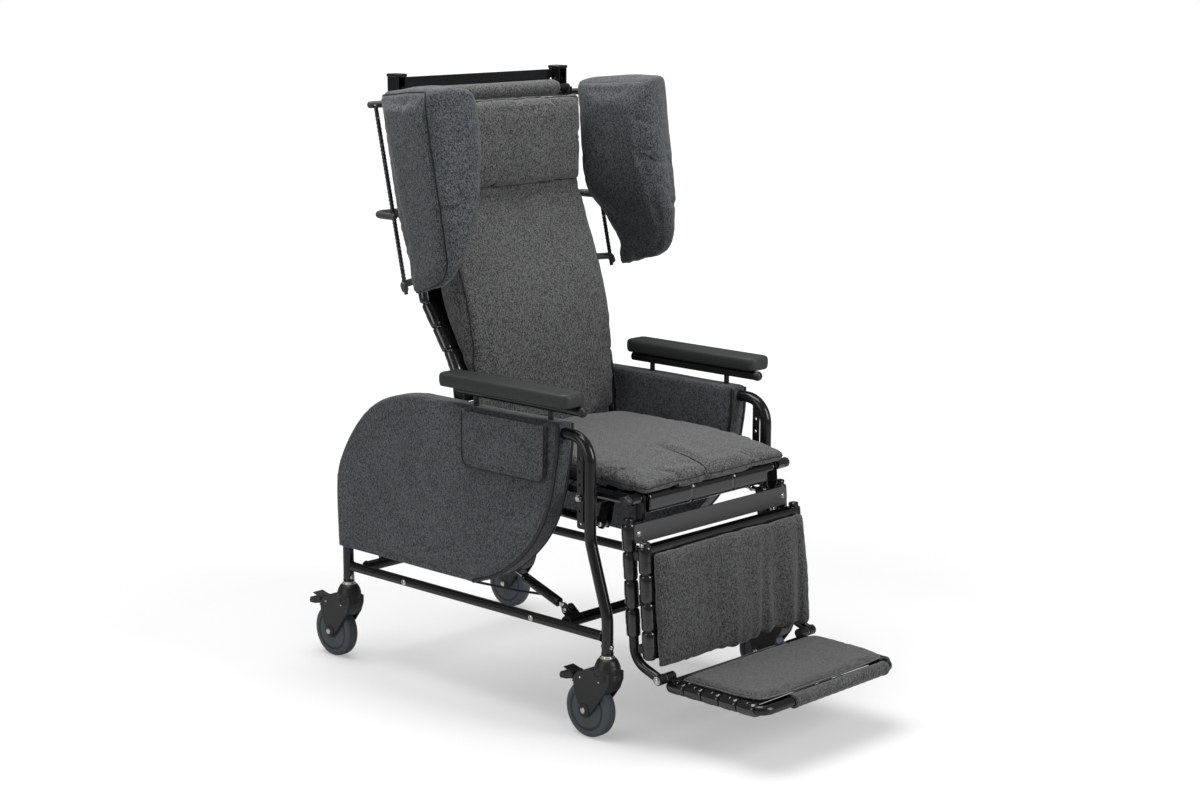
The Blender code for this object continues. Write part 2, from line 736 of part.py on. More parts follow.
def side_panel(side):
    inner = side * (SIDE_X - TUBE_R - PANEL_WALL * 2)
    outer = side * (SIDE_X + TUBE_R + PANEL_WALL)
    shell = slab(panel_outline(), inner, outer, PANEL_RIM)
    tunnel_path = bent(flat_path(side * SIDE_X, [
        (REAR_STEM_Y, PANEL_BOTTOM - 0.05), (REAR_STEM_Y, KNEE_Z), (SHOULDER_Y, ARM_RUN_Z), (-0.03,
                                                                                             ARM_RUN_Z)]),
        (BIG_BEND, BIG_BEND))
    tunnel = tube(tunnel_path, (TUBE_R + GAP) / math.cos(math.pi / 8), 8)
    low_wall = side * (SIDE_X - TUBE_R - PANEL_WALL * 0.5)
    high_wall = side * (SIDE_X + TUBE_R - 0.001)
    hollow = slab(PANEL_HOLLOW, low_wall, high_wall)
    posts = [rod((side * ARM_X, y, ARM_RUN_Z), (side * ARM_X, y, ARM_Z), POST_R + GAP) for y in ARM_POSTS_Y]
    return combine([shell], [tunnel, hollow, *posts])


def side_pocket(side):
    skin = SIDE_X + TUBE_R + PANEL_WALL + GAP
    outline = [(POCKET_FRONT_Y, POCKET_TOP), (POCKET_FRONT_Y + 0.004, POCKET_BOTTOM + 0.012)]
    outline += [(POCKET_FRONT_Y + 0.016, POCKET_BOTTOM), (POCKET_REAR_Y - 0.014, POCKET_BOTTOM)]
    outline += [(POCKET_REAR_Y, POCKET_BOTTOM + 0.014), (POCKET_REAR_Y, POCKET_TOP)]
    body = slab(outline[::-1], side * skin, side * (skin + POCKET_DEPTH), 0.002)
    wall = POCKET_WALL
    inside = [(POCKET_FRONT_Y + 0.008, POCKET_TOP + 0.02), (POCKET_FRONT_Y + 0.012, POCKET_BOTTOM + 0.016)]
    inside += [(POCKET_FRONT_Y + 0.020, POCKET_BOTTOM + 0.006),
               (POCKET_REAR_Y - 0.018, POCKET_BOTTOM + 0.006)]
    inside += [(POCKET_REAR_Y - 0.007, POCKET_BOTTOM + 0.018), (POCKET_REAR_Y - 0.007, POCKET_TOP + 0.02)]
    room = slab(inside[::-1], side * (skin + wall), side * (skin + POCKET_DEPTH - wall))
    return combine([body], [room])


def arm_tube(side):
    x = side * ARM_X
    body = tube(bent(flat_path(x, [(ARM_REAR_Y, ARM_Z), (ARM_FRONT_Y + 0.008, ARM_Z)]), ()), ARM_R)
    plug = rod((x, ARM_FRONT_Y + 0.009, ARM_Z), (x, ARM_FRONT_Y, ARM_Z), ARM_R + 0.0008, 12, ARM_R - 0.002)
    foot = ARM_RUN_Z + TUBE_R + GAP
    posts = [rod((x, y, foot), (x, y, ARM_Z), POST_R) for y in ARM_POSTS_Y]
    return combine([body, plug, *posts])


def arm_pad(side):
    half = PAD_WIDTH / 2
    base = ARM_Z + ARM_R + GAP
    corners = [(-half, PAD_FRONT_Y), (half, PAD_FRONT_Y), (half, PAD_REAR_Y), (-half, PAD_REAR_Y)]
    signs = [(1, 1), (-1, 1), (-1, -1), (1, -1)]
    starts = [math.pi, 1.5 * math.pi, 0.0, 0.5 * math.pi]
    work = bmesh.new()
    rims = []
    for height, inset in PAD_SECTION:
        rim = []
        for (cx, cy), (sx, sy), start in zip(corners, signs, starts):
            mx, my = cx + sx * PAD_CORNER, cy + sy * PAD_CORNER
            for k in range(5):
                angle = start + math.pi / 2 * k / 4
                reach = PAD_CORNER - inset
                rim.append(work.verts.new((side * PAD_X + mx + reach * math.cos(angle),
                                           my + reach * math.sin(angle),
                                           base + height)))
        rims.append(rim)
    for low, high in zip(rims, rims[1:]):
        for k in range(len(low)):
            n = (k + 1) % len(low)
            work.faces.new((low[k], low[n], high[n], high[k]))
    work.faces.new(rims[0][::-1])
    work.faces.new(rims[-1])
    return from_work(work)


# Casters, built about the swivel axis

def caster_fork():
    half = WHEEL_W / 2 + SIDE_CLEAR + FORK_WALL
    ay, az = TRAIL, WHEEL_R
    side_view = [*FORK_FRONT, *ring_points(ay, az, FORK_HUB_R, 4, math.radians(205), math.radians(145)),
                 *FORK_REAR]
    arms = slab(side_view, -half, half)
    well = lathe([(0.0, 0.0), (WHEEL_R + WHEEL_CLEAR, 0.0),
                  (WHEEL_R + WHEEL_CLEAR, WHEEL_W + 2 * SIDE_CLEAR),
                  (0.0, WHEEL_W + 2 * SIDE_CLEAR)][::-1], 16)
    well = about_x(well, (-WHEEL_W / 2 - SIDE_CLEAR, ay, az))
    housing = lathe([(0.0, HOUSING_TOP + WASHER_H), (0.0135, HOUSING_TOP + WASHER_H),
                     (0.0135, HOUSING_TOP - 0.001),
                     (HOUSING_R, HOUSING_TOP - 0.006), (HOUSING_R, HOUSING_BASE), (0.0, HOUSING_BASE)], 12)
    top = HOUSING_TOP + WASHER_H
    stem = rod((0, 0, HOUSING_TOP - 0.02), (0, 0, top + STEM_LENGTH), STEM_R, 10)
    axle = across(-half + 0.001, half - 0.001, ay, az, AXLE_R, 10)
    caps = [across(-half - 0.002, half + 0.002, ay, az, 0.0115, 10)]
    py, pz = PEDAL_AXIS
    lug_half = PEDAL_LUG_W / 2
    lug = link(PEDAL_AXIS, 0.0065, (0.078, 0.1345), 0.0070, -lug_half, lug_half, 6)
    pin = across(-PEDAL_W / 2 + 0.003, PEDAL_W / 2 - 0.003, py, pz, 0.003, 10)
    body = combine([arms, *caps], [well])
    return combine([body, housing, stem, axle, lug, pin])


def caster_pedal():
    py, pz = PEDAL_AXIS
    half = PEDAL_W / 2
    tip = PEDAL_REACH
    points = []
    for x in (-half, half):
        points += [(x, y, z) for y, z in ring_points(py, pz, PEDAL_NOSE_R, 6, math.radians(60),
                                                     math.radians(240))]
        points += [(x, tip - 0.003, pz + 0.0010), (x, tip, pz - 0.0060), (x, tip - 0.003, pz - 0.0125)]
    slot = PEDAL_LUG_W / 2 + RUN
    gap = block((-slot, slot), (py - 0.03, py + 0.0105), (pz - 0.03, pz + 0.03))
    bore = across(-half - 0.01, half + 0.01, py, pz, 0.003 + RUN, 12)
    return combine([hull(points)], [gap, bore])


def wheel_body(upper):
    """A wheel part from the upper half of its profile, turned so that a flat of it stands on the floor."""
    profile = upper + [(r, -h) for r, h in upper[::-1]]
    body = lathe(profile, WHEEL_SIDES)
    body.transform(Matrix.Rotation(math.pi / WHEEL_SIDES, 4, "Z"))
    return about_x(body, (0, TRAIL, WHEEL_R))


def caster_tyre():
    half = WHEEL_W / 2
    rim = HUB_R + GAP
    tread = WHEEL_R / math.cos(math.pi / WHEEL_SIDES)
    return wheel_body([(rim, half - 0.001), (tread - 0.006, half - 0.0005), (tread, half - 0.008)])


def caster_disc():
    half = WHEEL_W / 2
    bore = AXLE_R + RUN
    return wheel_body([(bore, half), (0.0145, half - 0.001), (HUB_R, half - 0.0035)])


# Seat

def pivot_eye(side, middle, half, pin, bore_r, outer_r):
    """A bored boss round a pivot, on the end of a rail."""
    ring = [(bore_r, 2 * half), (outer_r, 2 * half), (outer_r, 0.0), (bore_r, 0.0)]
    return about_x(lathe(ring, 12), (side * middle - half, *pin))


def seat_frame():
    parts = []
    rear_end = RECLINE[0] - RAIL_REAR_SHORT
    for side in (RIGHT, LEFT):
        x = side * SEAT_X
        parts.append(rod((x, KNEE[0] + EYE_REACH, SEAT_Z), (x, rear_end, SEAT_Z), SEAT_R, 8))
        parts.append(pivot_eye(side, SEAT_X, SEAT_R - 0.0002, KNEE, KNOB_BOLT_R + RUN, SEAT_R + 0.0005))
        parts.append(across(side * SEAT_X, side * (SIDE_X - BAR_THICK / 2 - GAP), *TILT, 0.010))
        parts.append(across(side * SEAT_X, side * (SIDE_X + BAR_THICK / 2 + 0.002), *TILT, HOLE_R - RUN))
        parts.append(across(side * (SIDE_X + BAR_THICK / 2 + GAP), side * (SIDE_X + BAR_THICK / 2 + 0.005),
                            *TILT, 0.0068, 6))
        ear0, ear1 = SEAT_X + SEAT_R + GAP, SEAT_X + SEAT_R + GAP + EAR_T
        parts.append(link(RECLINE, 0.0125, (RECLINE[0] - 0.035, SEAT_Z), 0.0115, side * ear0, side * ear1))
        parts.append(block((side * SEAT_X, side * ear1), (rear_end - 0.014, rear_end),
                           (SEAT_Z - 0.008, SEAT_Z + 0.008)))
        parts.append(across(side * (BACK_X - BACK_R + 0.001), side * ear1, *RECLINE, KNOB_BOLT_R))
    parts.append(across(-SEAT_X, SEAT_X, SEAT_FRONT_TUBE_Y, SEAT_Z, SEAT_R - 0.001))
    parts.append(across(-SEAT_X, SEAT_X, UNDER_Y, UNDER_Z, UNDER_R))
    for side in (RIGHT, LEFT):
        parts.append(block((side * (SEAT_X - 0.008), side * (SEAT_X + 0.008)),
                           (UNDER_Y - 0.010, UNDER_Y + 0.010),
                           (UNDER_Z - 0.006, SEAT_Z)))
    for k in range(SEAT_STRAPS):
        y = SEAT_STRAP_START + STRAP_WIDTH / 2 + k * STRAP_PITCH
        parts.append(strap_loop(SEAT_X, SEAT_R + STRAP_WALL, SEAT_R, STRAP_WIDTH, 0.0, (0, y, SEAT_Z)))
    spring = LEG_SPRING
    parts += ears(spring["x"], spring["fixed"], (UNDER_Y, UNDER_Z), UNDER_R)
    parts.append(fixed_pin(spring["x"], spring["fixed"]))
    spring = RECLINE_SPRING
    parts += ears(spring["x"], spring["fixed"], (STUB_Y, UNDER_Z), UNDER_R)
    parts.append(fixed_pin(spring["x"], spring["fixed"]))
    parts.append(across(-SEAT_X, spring["x"] + EYE_W / 2 + EAR_T, STUB_Y, UNDER_Z, UNDER_R - 0.001))
    parts.append(block((-SEAT_X - 0.008, -SEAT_X + 0.008), (STUB_Y - 0.009, STUB_Y + 0.009),
                       (UNDER_Z - 0.006, SEAT_Z)))
    for x in ROLL_HANGERS:
        parts.append(rod((x, SEAT_FRONT_TUBE_Y, ROLL_Z), (x, ROLL_Y + ROLL_HALF_DEPTH + GAP, ROLL_Z), 0.005,
                         8))
    root = (TILT_SPRING["moving"][0] - 0.035, SEAT_Z - 0.014)
    parts += ears(TILT_SPRING["x"], TILT_SPRING["moving"], root, 0.016)
    return combine(parts)


def pivot_knob(side):
    inner = HINGE_PLATE_X - PLATE_T / 2 - GAP
    knob = SEAT_X + SEAT_R + GAP + 0.0015
    face = knob - inner
    profile = [(0.0, face + 0.0175), (KNOB_R - 0.0025, face + 0.0175), (KNOB_R, face + 0.0155)]
    profile += [(KNOB_R, face + 0.0075), (0.0100, face + 0.0065), (0.0100, face + 0.0050)]
    profile += [(KNOB_BOLT_R, face + 0.0050), (KNOB_BOLT_R, 0.0065), (0.0080, 0.0065)]
    profile += [(0.0080, 0.0015), (0.0055, 0.0), (0.0, 0.0)]
    start = side * (inner - 0.0065)
    return about_x(lathe(profile, 10), (start, *KNEE), flip=side < 0)


def seat_cushion():
    base = SEAT_Z + SEAT_R + STRAP_WALL + GAP
    us = grid_lines(-CUSHION_HALF, CUSHION_HALF, 0.016, 3)
    vs = grid_lines(CUSHION_FRONT_Y, CUSHION_REAR_Y, 0.020, 4)

    def top(u, v):
        across_share = 1.0 - (u / CUSHION_HALF) ** 2
        from_front = (v - CUSHION_FRONT_Y) / (CUSHION_REAR_Y - CUSHION_FRONT_Y)
        rise = CUSHION_EDGE + CUSHION_CROWN * (0.45 + 0.55 * across_share) * min(1.0,
                                                                                 0.42 + from_front * 2.4)
        return (u, v, base + rise - CUSHION_DROP * max(0.0, 1.0 - from_front * 3.2))

    def bottom(u, v):
        return (u, v, base)

    body = cage(us, vs, top, bottom)
    slit = block((SLIT_X - SLIT_WIDTH / 2, SLIT_X + SLIT_WIDTH / 2),
                 (CUSHION_FRONT_Y - 0.02, CUSHION_FRONT_Y + SLIT_LENGTH),
                 (base - 0.02, base + 0.10))
    return combine([body], [slit])


def front_roll():
    """A flat roll of vinyl that hangs under the front edge of the seat."""
    rim = ring_points(ROLL_Y, ROLL_Z + ROLL_HALF_HEIGHT, ROLL_HALF_DEPTH, 7, 0.0, math.pi)
    rim += ring_points(ROLL_Y, ROLL_Z - ROLL_HALF_HEIGHT, ROLL_HALF_DEPTH, 7, math.pi, math.pi)
    body = slab(rim, -ROLL_HALF, ROLL_HALF, 0.002)
    notch = block((ROLL_NOTCH_X, ROLL_HALF + 0.01), (ROLL_Y - 0.03, ROLL_Y + 0.03),
                  (ROLL_Z - 0.05, ROLL_NOTCH_Z))
    return combine([body], [notch])


# Back

def back_line():
    corners = [RECLINE, BACK_LOW, BACK_HIGH, BACK_TOP]
    return [(p.y, p.z) for p in bent(flat_path(0.0, corners), (BACK_BEND, BACK_BEND))]


def cane_y(z):
    return lerp([(height, y) for y, height in back_line()], z)


def back_frame():
    parts = []
    line = back_line()
    foot = along(line, EYE_REACH)[0]
    for side in (RIGHT, LEFT):
        x = side * BACK_X
        cane = tube(flat_path(x, [foot, *line[1:]]), BACK_R, 8)
        eye = pivot_eye(side, BACK_X, BACK_R - 0.0002, RECLINE, KNOB_BOLT_R + RUN, BACK_R + 0.0006)
        parts += [cane, eye]
        rail = rod((side * WING_RAIL_X, *WING_RAIL_LOW), (side * WING_RAIL_X, *WING_RAIL_HIGH), WING_RAIL_R,
                   10)
        low_y, mid_y = (lerp([(z, y) for y, z in (WING_RAIL_LOW, WING_RAIL_HIGH)], height)
                        for height in (CARRIER_LOW_Z, CARRIER_MID_Z))
        bow = [(x, cane_y(CARRIER_MID_Z), CARRIER_MID_Z), (x, CARRIER_MID_REAR, CARRIER_MID_Z)]
        bow += [(side * WING_RAIL_X, CARRIER_MID_REAR, CARRIER_MID_Z),
                (side * WING_RAIL_X, mid_y, CARRIER_MID_Z)]
        mid = tube(bent(bow, (CARRIER_MID_BEND, CARRIER_MID_BEND)), CARRIER_R)
        low = rod((x, cane_y(CARRIER_LOW_Z), CARRIER_LOW_Z),
                  (side * CARRIER_LOW_END, low_y - 0.003, CARRIER_LOW_Z), CARRIER_R)
        top_link = rod((x, cane_y(CARRIER_TOP_Z), CARRIER_TOP_Z), (x, CARRIER_TOP_Y, CARRIER_TOP_Z),
                       CARRIER_R - 0.001)
        drop = rod((side * WING_RAIL_X, *WING_RAIL_HIGH),
                   (side * WING_RAIL_X, CARRIER_TOP_Y, CARRIER_TOP_Z), WING_RAIL_R, 10)
        parts += [rail, mid, low, top_link, drop]
        for z, near in WING_BOSSES:
            far = CARRIER_TOP_Y if z == CARRIER_TOP_Z else CARRIER_MID_REAR
            parts.append(rod((side * WING_BOSS_X, far, z), (side * WING_BOSS_X, near, z), 0.006, 8))
    parts.append(across(-CARRIER_END, CARRIER_END, CARRIER_TOP_Y, CARRIER_TOP_Z, CARRIER_R))
    parts.append(across(-BACK_X, BACK_X, BACK_TOP[0], BACK_TOP[1] - 0.002, BACK_R - 0.001))
    low_y = cane_y(BACK_CROSS_Z)
    parts.append(across(-BACK_X, BACK_X, low_y, BACK_CROSS_Z, 0.008))
    spring = RECLINE_SPRING
    parts += ears(spring["x"], spring["moving"], (low_y, BACK_CROSS_Z), 0.009)
    for k in range(BACK_STRAPS):
        (y, z), slope = along(line, BACK_STRAP_START + k * STRAP_PITCH + STRAP_WIDTH / 2)
        parts.append(strap_loop(BACK_X, BACK_R + STRAP_WALL, BACK_R, STRAP_WIDTH, slope, (0, y, z)))
    return combine(parts)


def back_cushion():
    us = grid_lines(-BACK_CUSHION_HALF, BACK_CUSHION_HALF, 0.016, 2)

    def face(u, z):
        if z > BACK_CUSHION_FLAT_Z:
            return (u, lerp(BACK_CUSHION_FRONT, z), z)
        bow = 1.0 - (u / BACK_CUSHION_HALF) ** 2
        return (u, lerp(BACK_CUSHION_FRONT, z) + 0.010 - BACK_CUSHION_CROWN * bow, z)

    def rear(u, z):
        lean = (cane_y(z + 0.01) - cane_y(z - 0.01)) / 0.02
        return (u, cane_y(z) - (BACK_R + STRAP_WALL) * math.hypot(1.0, lean) - lerp(BACK_CUSHION_SLACK, z),
                z)

    return cage(us, BACK_CUSHION_HEIGHTS, face, rear)


def head_pillow():
    us = grid_lines(-PILLOW_HALF, PILLOW_HALF, 0.018, 2)
    vs = grid_lines(PILLOW_LOW, PILLOW_HIGH, 0.020, 1)
    mid = (PILLOW_LOW + PILLOW_HIGH) / 2
    half = (PILLOW_HIGH - PILLOW_LOW) / 2

    def face(u, z):
        bow = (1.0 - (u / PILLOW_HALF) ** 2) * (1.0 - ((z - mid) / half) ** 2)
        return (u, PILLOW_REAR - PILLOW_EDGE - PILLOW_CROWN * bow, z)

    def rear(u, z):
        return (u, PILLOW_REAR, z)

    return cage(us, vs, face, rear)


def top_roll():
    outer = tube([Vector((s * TOP_ROLL_HALF, *BACK_TOP)) for s in (-1, 1)], TOP_ROLL_R, 14)
    bore = across(-TOP_ROLL_HALF - 0.01, TOP_ROLL_HALF + 0.01, BACK_TOP[0], BACK_TOP[1] - 0.002,
                  BACK_R - 0.001 + GAP)
    return combine([outer], [bore])


def wing(side):
    work = bmesh.new()
    rims = []
    for z, *corners in WING_STATIONS:
        rim = []
        for k, (x, y, rise) in enumerate(corners):
            nx, ny, next_rise = corners[(k + 1) % 4]
            shares = (0.05, 0.5, 0.95) if k % 2 == 0 else (0.15, 0.85)
            for share in shares:
                height = z + rise + (next_rise - rise) * share
                rim.append(work.verts.new((side * (x + (nx - x) * share), y + (ny - y) * share, height)))
        rims.append(rim)
    for low, high in zip(rims, rims[1:]):
        for k in range(len(low)):
            n = (k + 1) % len(low)
            work.faces.new((low[k], low[n], high[n], high[k]))
    for rim in (rims[0], rims[-1]):
        work.faces.new((rim[0], rim[1], rim[6], rim[7]))
        work.faces.new((rim[1], rim[2], rim[5], rim[6]))
        work.faces.new((rim[2], rim[3], rim[4], rim[5]))
        work.faces.new((rim[7], rim[8], rim[9], rim[0]))
    item = scratch(from_work(work))
    soft = item.modifiers.new("Soft", "SUBSURF")
    soft.levels = 1
    soft.render_levels = 1
    return plain(item)


def push_bar():
    foot = CARRIER_TOP_Z + CARRIER_R + GAP
    bar = block((-PUSH_REACH, PUSH_REACH), (PUSH_Y - PUSH_T / 2, PUSH_Y + PUSH_T / 2),
                (PUSH_LOW, PUSH_HIGH), 0.0008)
    parts = [bar]
    front, rear = CARRIER_TOP_Y - SLAT_FRONT, CARRIER_TOP_Y + SLAT_REAR
    for side in (RIGHT, LEFT):
        for x in SLAT_X:
            middle = side * x
            parts.append(block((middle - SLAT_T / 2, middle + SLAT_T / 2), (front, rear),
                               (foot, PUSH_HIGH + 2 * CAP_LOW)))
        ends = (side * (min(SLAT_X) - SLAT_T / 2 - CAP_LIP), side * (max(SLAT_X) + SLAT_T / 2 + CAP_LIP))
        parts.append(block(ends, (front - CAP_LIP, rear + CAP_LIP),
                           (PUSH_HIGH + CAP_LOW, PUSH_HIGH + CAP_HIGH), 0.0015))
    return combine(parts)


# Legrest and footrest

LEG_TURN = Matrix.Translation((0, *KNEE)) @ Matrix.Rotation(-LEG_SLOPE, 4, "X")


def leg_point(x, f, s):
    return LEG_TURN @ Vector((x, -f, -s))


def from_leg(mesh):
    mesh.transform(LEG_TURN)
    return mesh


def leg_local(y, z):
    """A world point of the side view in the legrest's own directions, as (-f, -s)."""
    place = LEG_TURN.inverted() @ Vector((0, y, z))
    return place.y, place.z


def column(x):
    hinge = leg_local(*FOOT_HINGE)
    path = bent([(x, -REAR_COLUMN_F, -COLUMN_TOP), (x, -REAR_COLUMN_F, -FOOT_CURVE_S), (x, *hinge)],
                (0.050,))
    path[-1] += (path[-2] - path[-1]).normalized() * EYE_REACH
    parts = [tube(path, COLUMN_R)]
    top = -COLUMN_TOP - 0.008
    parts.append(rod((x, -REAR_COLUMN_F, top), (x, -REAR_COLUMN_F, top - COLUMN_WRAP), WRAP_R))
    return parts


def legrest_frame():
    parts = []
    for side in (RIGHT, LEFT):
        x = side * COLUMN_X
        parts += column(x)
        hinge = leg_local(*FOOT_HINGE)
        parts.append(pivot_eye(side, COLUMN_X, COLUMN_R, hinge, KNOB_BOLT_R + RUN, COLUMN_R + 0.0008))
        x0, x1 = side * (HINGE_PLATE_X - PLATE_T / 2), side * (HINGE_PLATE_X + PLATE_T / 2)
        bore = across(side * (HINGE_PLATE_X - 0.02), side * (HINGE_PLATE_X + 0.02), 0, 0, KNOB_BOLT_R + RUN,
                      12)
        parts.append(combine([slab(HINGE_PLATE_OUTLINE, x0, x1)], [bore]))
        parts.append(block((side * HINGE_PLATE_X, side * (COLUMN_X - 0.004)), (-0.0045, 0.0140),
                           (-0.074, -0.048), 0.001))
    parts.append(across(-COLUMN_X, COLUMN_X, -REAR_COLUMN_F, -LEG_CROSS_S, LEG_CROSS_R))
    spring = LEG_SPRING
    pin = leg_local(*spring["moving"])
    parts += ears(spring["x"], pin, (-REAR_COLUMN_F, -LEG_CROSS_S), 0.009, 0.011)
    return from_leg(combine(parts))


def cross_plate():
    start = WRAP_R + REAR_COLUMN_F + GAP
    half, corner = PLATE_HALF, PLATE_CORNER
    outline = []
    for cx, cz, first in ((half - corner, -PLATE_TOP_S - corner, 0.0),
                          (-half + corner, -PLATE_TOP_S - corner, 90.0),
                          (-half + corner, -PLATE_LOW_S + corner, 180.0), (half - corner,
                                                                           -PLATE_LOW_S + corner, 270.0)):
        for k in range(5):
            angle = math.radians(first + 22.5 * k)
            outline.append((cx + corner * math.cos(angle), cz + corner * math.sin(angle)))
    work = bmesh.new()
    face = work.faces.new([work.verts.new((x, -start, z)) for x, z in outline])
    grown = bmesh.ops.extrude_face_region(work, geom=[face])
    moved = [item for item in grown["geom"] if isinstance(item, bmesh.types.BMVert)]
    bmesh.ops.translate(work, verts=moved, vec=(0, -PLATE_THICK, 0))
    return from_leg(from_work(work))


def calf_frame():
    x = COLUMN_X - 0.0035
    parts = []
    for side in (RIGHT, LEFT):
        path = [Vector((side * x, -FRONT_COLUMN_F, -s)) for s in (FRONT_TOP, FRONT_BOTTOM)]
        parts.append(tube(path, COLUMN_R))
        for top in CALF_LUGS_S:
            parts.append(block((side * (x - 0.008), side * (x + 0.008)),
                               (-WRAP_R - REAR_COLUMN_F - GAP, -FRONT_COLUMN_F),
                               (-top, -top - CALF_LUG_HEIGHT)))
    parts.append(across(-x, x, -FRONT_COLUMN_F, -FRONT_BOTTOM + 0.014, 0.008))
    for k in range(4):
        middle = FRONT_TOP + 0.006 + WRAP_WIDTH / 2 + k * WRAP_PITCH
        parts.append(strap_loop(x, WRAP_R, COLUMN_R, WRAP_WIDTH, math.pi / 2,
                                (0, -FRONT_COLUMN_F, -middle)))
    return from_leg(combine(parts))


def calf_pad():
    rear = FRONT_COLUMN_F + WRAP_R + GAP
    us = grid_lines(-CALF_HALF, CALF_HALF, CALF_RIM, 1)
    vs = grid_lines(-CALF_LOW_S, -CALF_TOP_S, CALF_RIM, 1)
    mid = -(CALF_LOW_S + CALF_TOP_S) / 2
    half = (CALF_LOW_S - CALF_TOP_S) / 2

    def face(u, z):
        bow = (1.0 - (u / CALF_HALF) ** 2) * (1.0 - ((z - mid) / half) ** 2)
        return (u, -rear - CALF_THICK + 0.001 - CALF_CROWN * bow, z)

    def back(u, z):
        return (u, -rear, z)

    return from_leg(cage(us, vs, face, back))


def foot_frame():
    hy, hz = FOOT_HINGE
    low = hz + FOOT_RAIL_Z
    front = hy - FOOT_REACH
    half = FOOT_X
    rear = hy + FOOT_REAR
    path = bent([(-half, rear, low), (-half, front, low), (half, front, low), (half, rear, low)],
                (FOOT_CORNER, FOOT_CORNER))
    parts = [tube(path, COLUMN_R)]
    for side in (RIGHT, LEFT):
        parts.append(across(side * (half - 0.0105), side * (COLUMN_X - COLUMN_R - 0.0030), hy, hz, 0.0108))
        parts.append(across(side * half, side * (COLUMN_X + COLUMN_R + 0.003), hy, hz, KNOB_BOLT_R))
        head = COLUMN_X + COLUMN_R + GAP
        parts.append(across(side * head, side * (head + 0.0045), hy, hz, 0.0075, 12))
    for k in range(FOOT_STRAPS):
        y = hy - FOOT_STRAP_START - FOOT_STRAP_WIDTH / 2 - k * FOOT_STRAP_PITCH
        parts.append(strap_loop(half, FOOT_WRAP_R, COLUMN_R, FOOT_STRAP_WIDTH, 0.0, (0, y, low)))
    return combine(parts)


def foot_pad():
    hy, hz = FOOT_HINGE
    base = hz + FOOT_RAIL_Z + FOOT_WRAP_R + GAP
    front = hy - FOOT_REACH + FOOT_PAD_SETBACK
    rear = hy - FOOT_PAD_START
    turn_x, turn_y = FOOT_PAD_HALF - FOOT_PAD_CORNER, front + FOOT_PAD_CORNER
    half_us = [FOOT_PAD_HALF, FOOT_PAD_HALF - FOOT_PAD_RIM, turn_x]
    us = [-u for u in half_us] + half_us[::-1]
    vs = [front, front + FOOT_PAD_RIM, turn_y, rear - FOOT_PAD_RIM, rear]

    def rounded(u, v):
        """The front corners drawn in to a quarter circle."""
        a = max(0.0, abs(u) - turn_x) / FOOT_PAD_CORNER
        b = max(0.0, turn_y - v) / FOOT_PAD_CORNER
        if a == 0.0 or b == 0.0:
            return u, v
        reach = turn_x + FOOT_PAD_CORNER * a * math.sqrt(1.0 - b * b / 2)
        return math.copysign(reach, u), turn_y - FOOT_PAD_CORNER * b * math.sqrt(1.0 - a * a / 2)

    def top(u, v):
        return (*rounded(u, v), base + FOOT_PAD_THICK)

    def bottom(u, v):
        return (*rounded(u, v), base)

    return cage(us, vs, top, bottom)


def foot_sleeve():
    hy, hz = FOOT_HINGE
    spot = (hy - FOOT_REACH, hz + FOOT_RAIL_Z)
    outer = across(SLEEVE_RIGHT, SLEEVE_LEFT, *spot, SLEEVE_R, 16)
    bore = across(SLEEVE_RIGHT - 0.01, SLEEVE_LEFT + 0.01, *spot, COLUMN_R + 0.001, 12)
    return combine([outer], [bore])


# Springs, cable and lever

def spring_axis(spring):
    fixed, moving = Vector(spring["fixed"]), Vector(spring["moving"])
    return fixed, moving, (moving - fixed).length, (moving - fixed).normalized()


def spring_point(spring, distance):
    fixed, _, _, ahead = spring_axis(spring)
    y, z = fixed + ahead * distance
    return (spring["x"], y, z)


def cylinder(spring):
    x = spring["x"]
    start = EAR_R + 0.003
    end = start + spring["barrel"]
    eye = across(x - EYE_W / 2, x + EYE_W / 2, *spring["fixed"], EYE_R, 12)
    neck = rod(spring_point(spring, EYE_R * 0.6), spring_point(spring, start + 0.002), 0.005, 10)
    barrel = rod(spring_point(spring, start), spring_point(spring, end), CYLINDER_R, 12)
    hole = across(x - EYE_W, x + EYE_W, *spring["fixed"], PIN_R + RUN, 12)
    _, _, length, _ = spring_axis(spring)
    depth = spring["shortest"] - spring["rod"] - 0.003
    bore = rod(spring_point(spring, depth), spring_point(spring, end + 0.01), ROD_R + RUN, 12)
    return combine([eye, neck, barrel], [hole, bore])


def spring_rod(spring):
    x = spring["x"]
    _, moving, length, _ = spring_axis(spring)
    shaft = rod(spring_point(spring, length - spring["rod"]), spring_point(spring, length - EYE_R * 0.4),
                ROD_R)
    head = rod(spring_point(spring, length - EYE_R - 0.020), spring_point(spring, length - EYE_R * 0.5),
               0.0055, 10)
    eye = across(x - EYE_W / 2, x + EYE_W / 2, *spring["moving"], EYE_R, 12)
    return combine([shaft, head, eye])


def release_cable():
    ends = [Vector((CABLE_X, y, z)) for y, z in CABLE_ROUTE]
    return tube(bent(ends, [0.05] * (len(ends) - 2)), CABLE_R, 8)


def release_lever():
    y, z = LEVER_AXIS
    half = 0.004 + GAP
    x = CABLE_X
    arm0, arm1 = x - half, x - half - 0.005
    arm = link(LEVER_AXIS, 0.009, (y + LEVER_REACH, z - 0.004), 0.007, arm0, arm1)
    pin = across(arm0 - 0.001, x + half + 0.004, y, z, PIN_R)
    head = across(x + half, x + half + 0.004, y, z, 0.0065, 12)
    pad = block((x - 0.022, x + 0.012), (y + LEVER_REACH - 0.004, y + LEVER_REACH + 0.012),
                (z - 0.013, z + 0.003), 0.002)
    return combine([arm, pin, head, pad])


